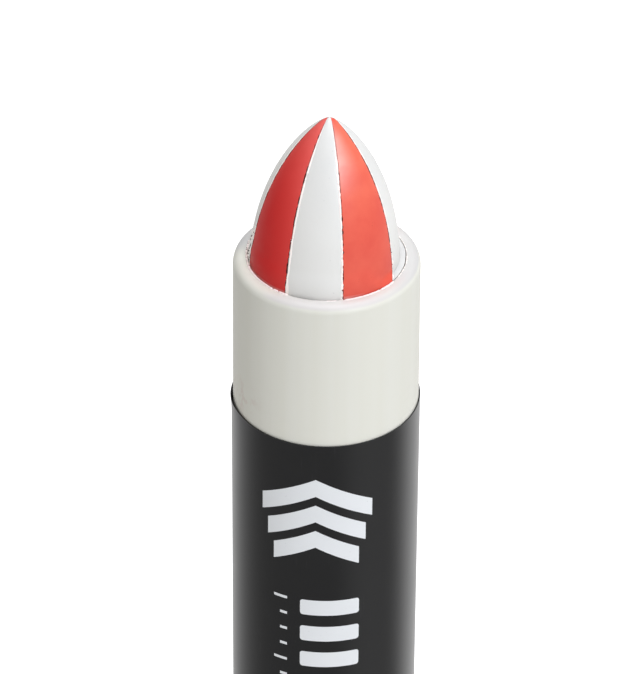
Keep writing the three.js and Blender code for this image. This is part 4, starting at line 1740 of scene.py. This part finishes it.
@dataclass
class Studio:
    """The floor, the lights and the camera.

    Attributes:
        focal_px: The camera's focal length, in pixels of the photograph.
        long_px: The photograph's longer side.
        elevation: How high the camera looks down from.
        roll: How far it is turned about its own axis.
        sky: How bright the white all round is as a light.
        floor_shown: How much brighter the camera sees the floor than it glows.
    """

    focal_px: float = 5000.0
    long_px: float = 674.0
    sensor_mm: float = 36.0
    elevation: float = math.radians(35.2804)
    distance: float = 499.7 * MM
    roll: float = math.radians(0.3794)
    look_at: Vector = field(default_factory=lambda: Vector((-0.6215, 0.0, 118.0 - 9.9258)) * MM)
    sky: float = 0.15
    floor_half: float = 3.0
    floor_colour: Colour = (0.92, 0.905, 0.87)
    floor_glow: float = 0.12
    floor_shown: float = 0.4
    aim: Vector = field(default_factory=lambda: Vector((0.0, 0.0, 0.11)))
    boxes: tuple[SoftBox, ...] = (
        SoftBox("key", (0.53, -0.79, 0.62), 0.4, 5.2, (0.95, 1.0, 1.1)),
        SoftBox("top", (0.1, 0.1, 1.1), 0.9, 11.5, (0.98, 1.0, 1.05)),
    )

    def build(self) -> None:
        """Makes everything round the marker."""
        self._camera()
        self._floor()
        self._world()
        for box in self.boxes:
            self._hang(box)
        bpy.context.scene.view_settings.view_transform = "Standard"

    def _camera(self) -> None:
        """Puts the camera where the photograph was taken from."""
        back = Vector((0.0, -math.cos(self.elevation), math.sin(self.elevation)))
        right = Vector((1.0, 0.0, 0.0))
        up = right.cross(-back)
        cos, sin = math.cos(self.roll), math.sin(self.roll)
        x_axis, y_axis = cos * right + sin * up, -sin * right + cos * up
        data = bpy.data.cameras.new("camera")
        data.sensor_width = self.sensor_mm
        data.lens = self.focal_px * self.sensor_mm / self.long_px
        data.clip_start, data.clip_end = 0.01, 20.0
        camera = link("camera", data)
        turned_to = Matrix((x_axis, y_axis, back)).transposed().to_4x4()
        camera.matrix_world = Matrix.Translation(self.look_at + back * self.distance) @ turned_to
        bpy.context.scene.camera = camera

    def _floor(self) -> None:
        """Lays a pale floor, lit a little from within like a light table."""
        mesh = bmesh.new()
        bmesh.ops.create_grid(mesh, x_segments=2, y_segments=2, size=self.floor_half)
        data = bpy.data.meshes.new("floor")
        mesh.to_mesh(data)
        mesh.free()
        floor = link("floor", data)
        material = bpy.data.materials.new("Pale_floor")
        material.use_nodes = True
        self._light_table(Graph(material.node_tree))
        data.materials.append(material)

    def _light_table(self, graph: Graph) -> None:
        """Makes the floor's material, which is one thing to the eye and another in a reflection.

        Args:
            graph: The material's nodes.
        """
        glossy = graph.node("ShaderNodeLightPath", output="Is Glossy Ray")
        camera = graph.node("ShaderNodeLightPath", output="Is Camera Ray")
        plain = graph.node("ShaderNodeBsdfDiffuse", None, {"Color": (*self.floor_colour, 1.0)})
        glow = self._emission(graph, camera * self.floor_shown + self.floor_glow)
        lit = graph.node("ShaderNodeAddShader", None, {0: plain, 1: glow})
        cards = self._emission(graph, self._cards(graph))
        mixed = graph.node("ShaderNodeMixShader", None, {0: glossy, 1: lit, 2: cards})
        graph.node("ShaderNodeOutputMaterial", None, {"Surface": mixed})

    def _emission(self, graph: Graph, strength: Sock) -> Sock:
        """White light of a strength."""
        return graph.node("ShaderNodeEmission", None, {"Color": (1, 1, 1, 1), "Strength": strength})

    def _cards(self, graph: Graph) -> Sock:
        """How bright the floor is in a reflection, by its direction from the marker.

        Args:
            graph: The material's nodes.

        Returns:
            The brightness: dim in front and at the sides, and bright behind.
        """
        x, y, _ = graph.axes()
        turned_to = x.angle_to(y * -1.0)
        right = turned_to.ramp(1.5, 2.2, 0.23, 0.9)
        right = right + turned_to.ramp(0.2, 0.7, 0.0, 0.2) * turned_to.ramp(0.9, 1.5, 1.0, 0.4)
        left = (turned_to * -1.0).ramp(1.3, 2.9, 0.25, 0.85)
        on_right = turned_to.ramp(-0.01, 0.01)
        return right * on_right + left * (1.0 - on_right)

    def _world(self) -> None:
        """Surrounds the marker with even white, dimmer as a light than to the eye."""
        world = bpy.data.worlds.new("studio")
        bpy.context.scene.world = world
        world.use_nodes = True
        graph = Graph(world.node_tree)
        camera = graph.node("ShaderNodeLightPath", output="Is Camera Ray")
        strength = camera * (1.0 - self.sky) + self.sky
        sky = graph.node("ShaderNodeBackground", None, {"Color": (1, 1, 1, 1), "Strength": strength})
        graph.node("ShaderNodeOutputWorld", None, {"Surface": sky})

    def _hang(self, box: SoftBox) -> None:
        """Hangs one soft box that points at the collar.

        Args:
            box: The soft box.
        """
        data = bpy.data.lights.new(box.name, "AREA")
        data.shape = "SQUARE"
        data.size = box.size
        data.energy = box.power
        data.color = box.colour
        light = link(box.name, data)
        light.location = box.place
        light.rotation_mode = "QUATERNION"
        light.rotation_quaternion = (self.aim - Vector(box.place)).to_track_quat("-Z", "Y")


def main() -> None:
    """Builds the studio and the marker."""
    logging.basicConfig(level=logging.INFO, format="%(name)s: %(message)s")
    Studio().build()
    Barrel().build()
    Label().build()
    LabelPrint().build()
    TwistKnob().build()
    stick = PaintStick()
    stick.build()
    SeamThreads().build(stick)
    MouthSmears().build()
    PaintCrumbs().build(stick)
    dress("seal_ring", Look.RUBBER)
    dress("lead_screw", Look.NATURAL)
    dress("stick_carrier", Look.NATURAL)


if __name__ == "__main__":
    main()
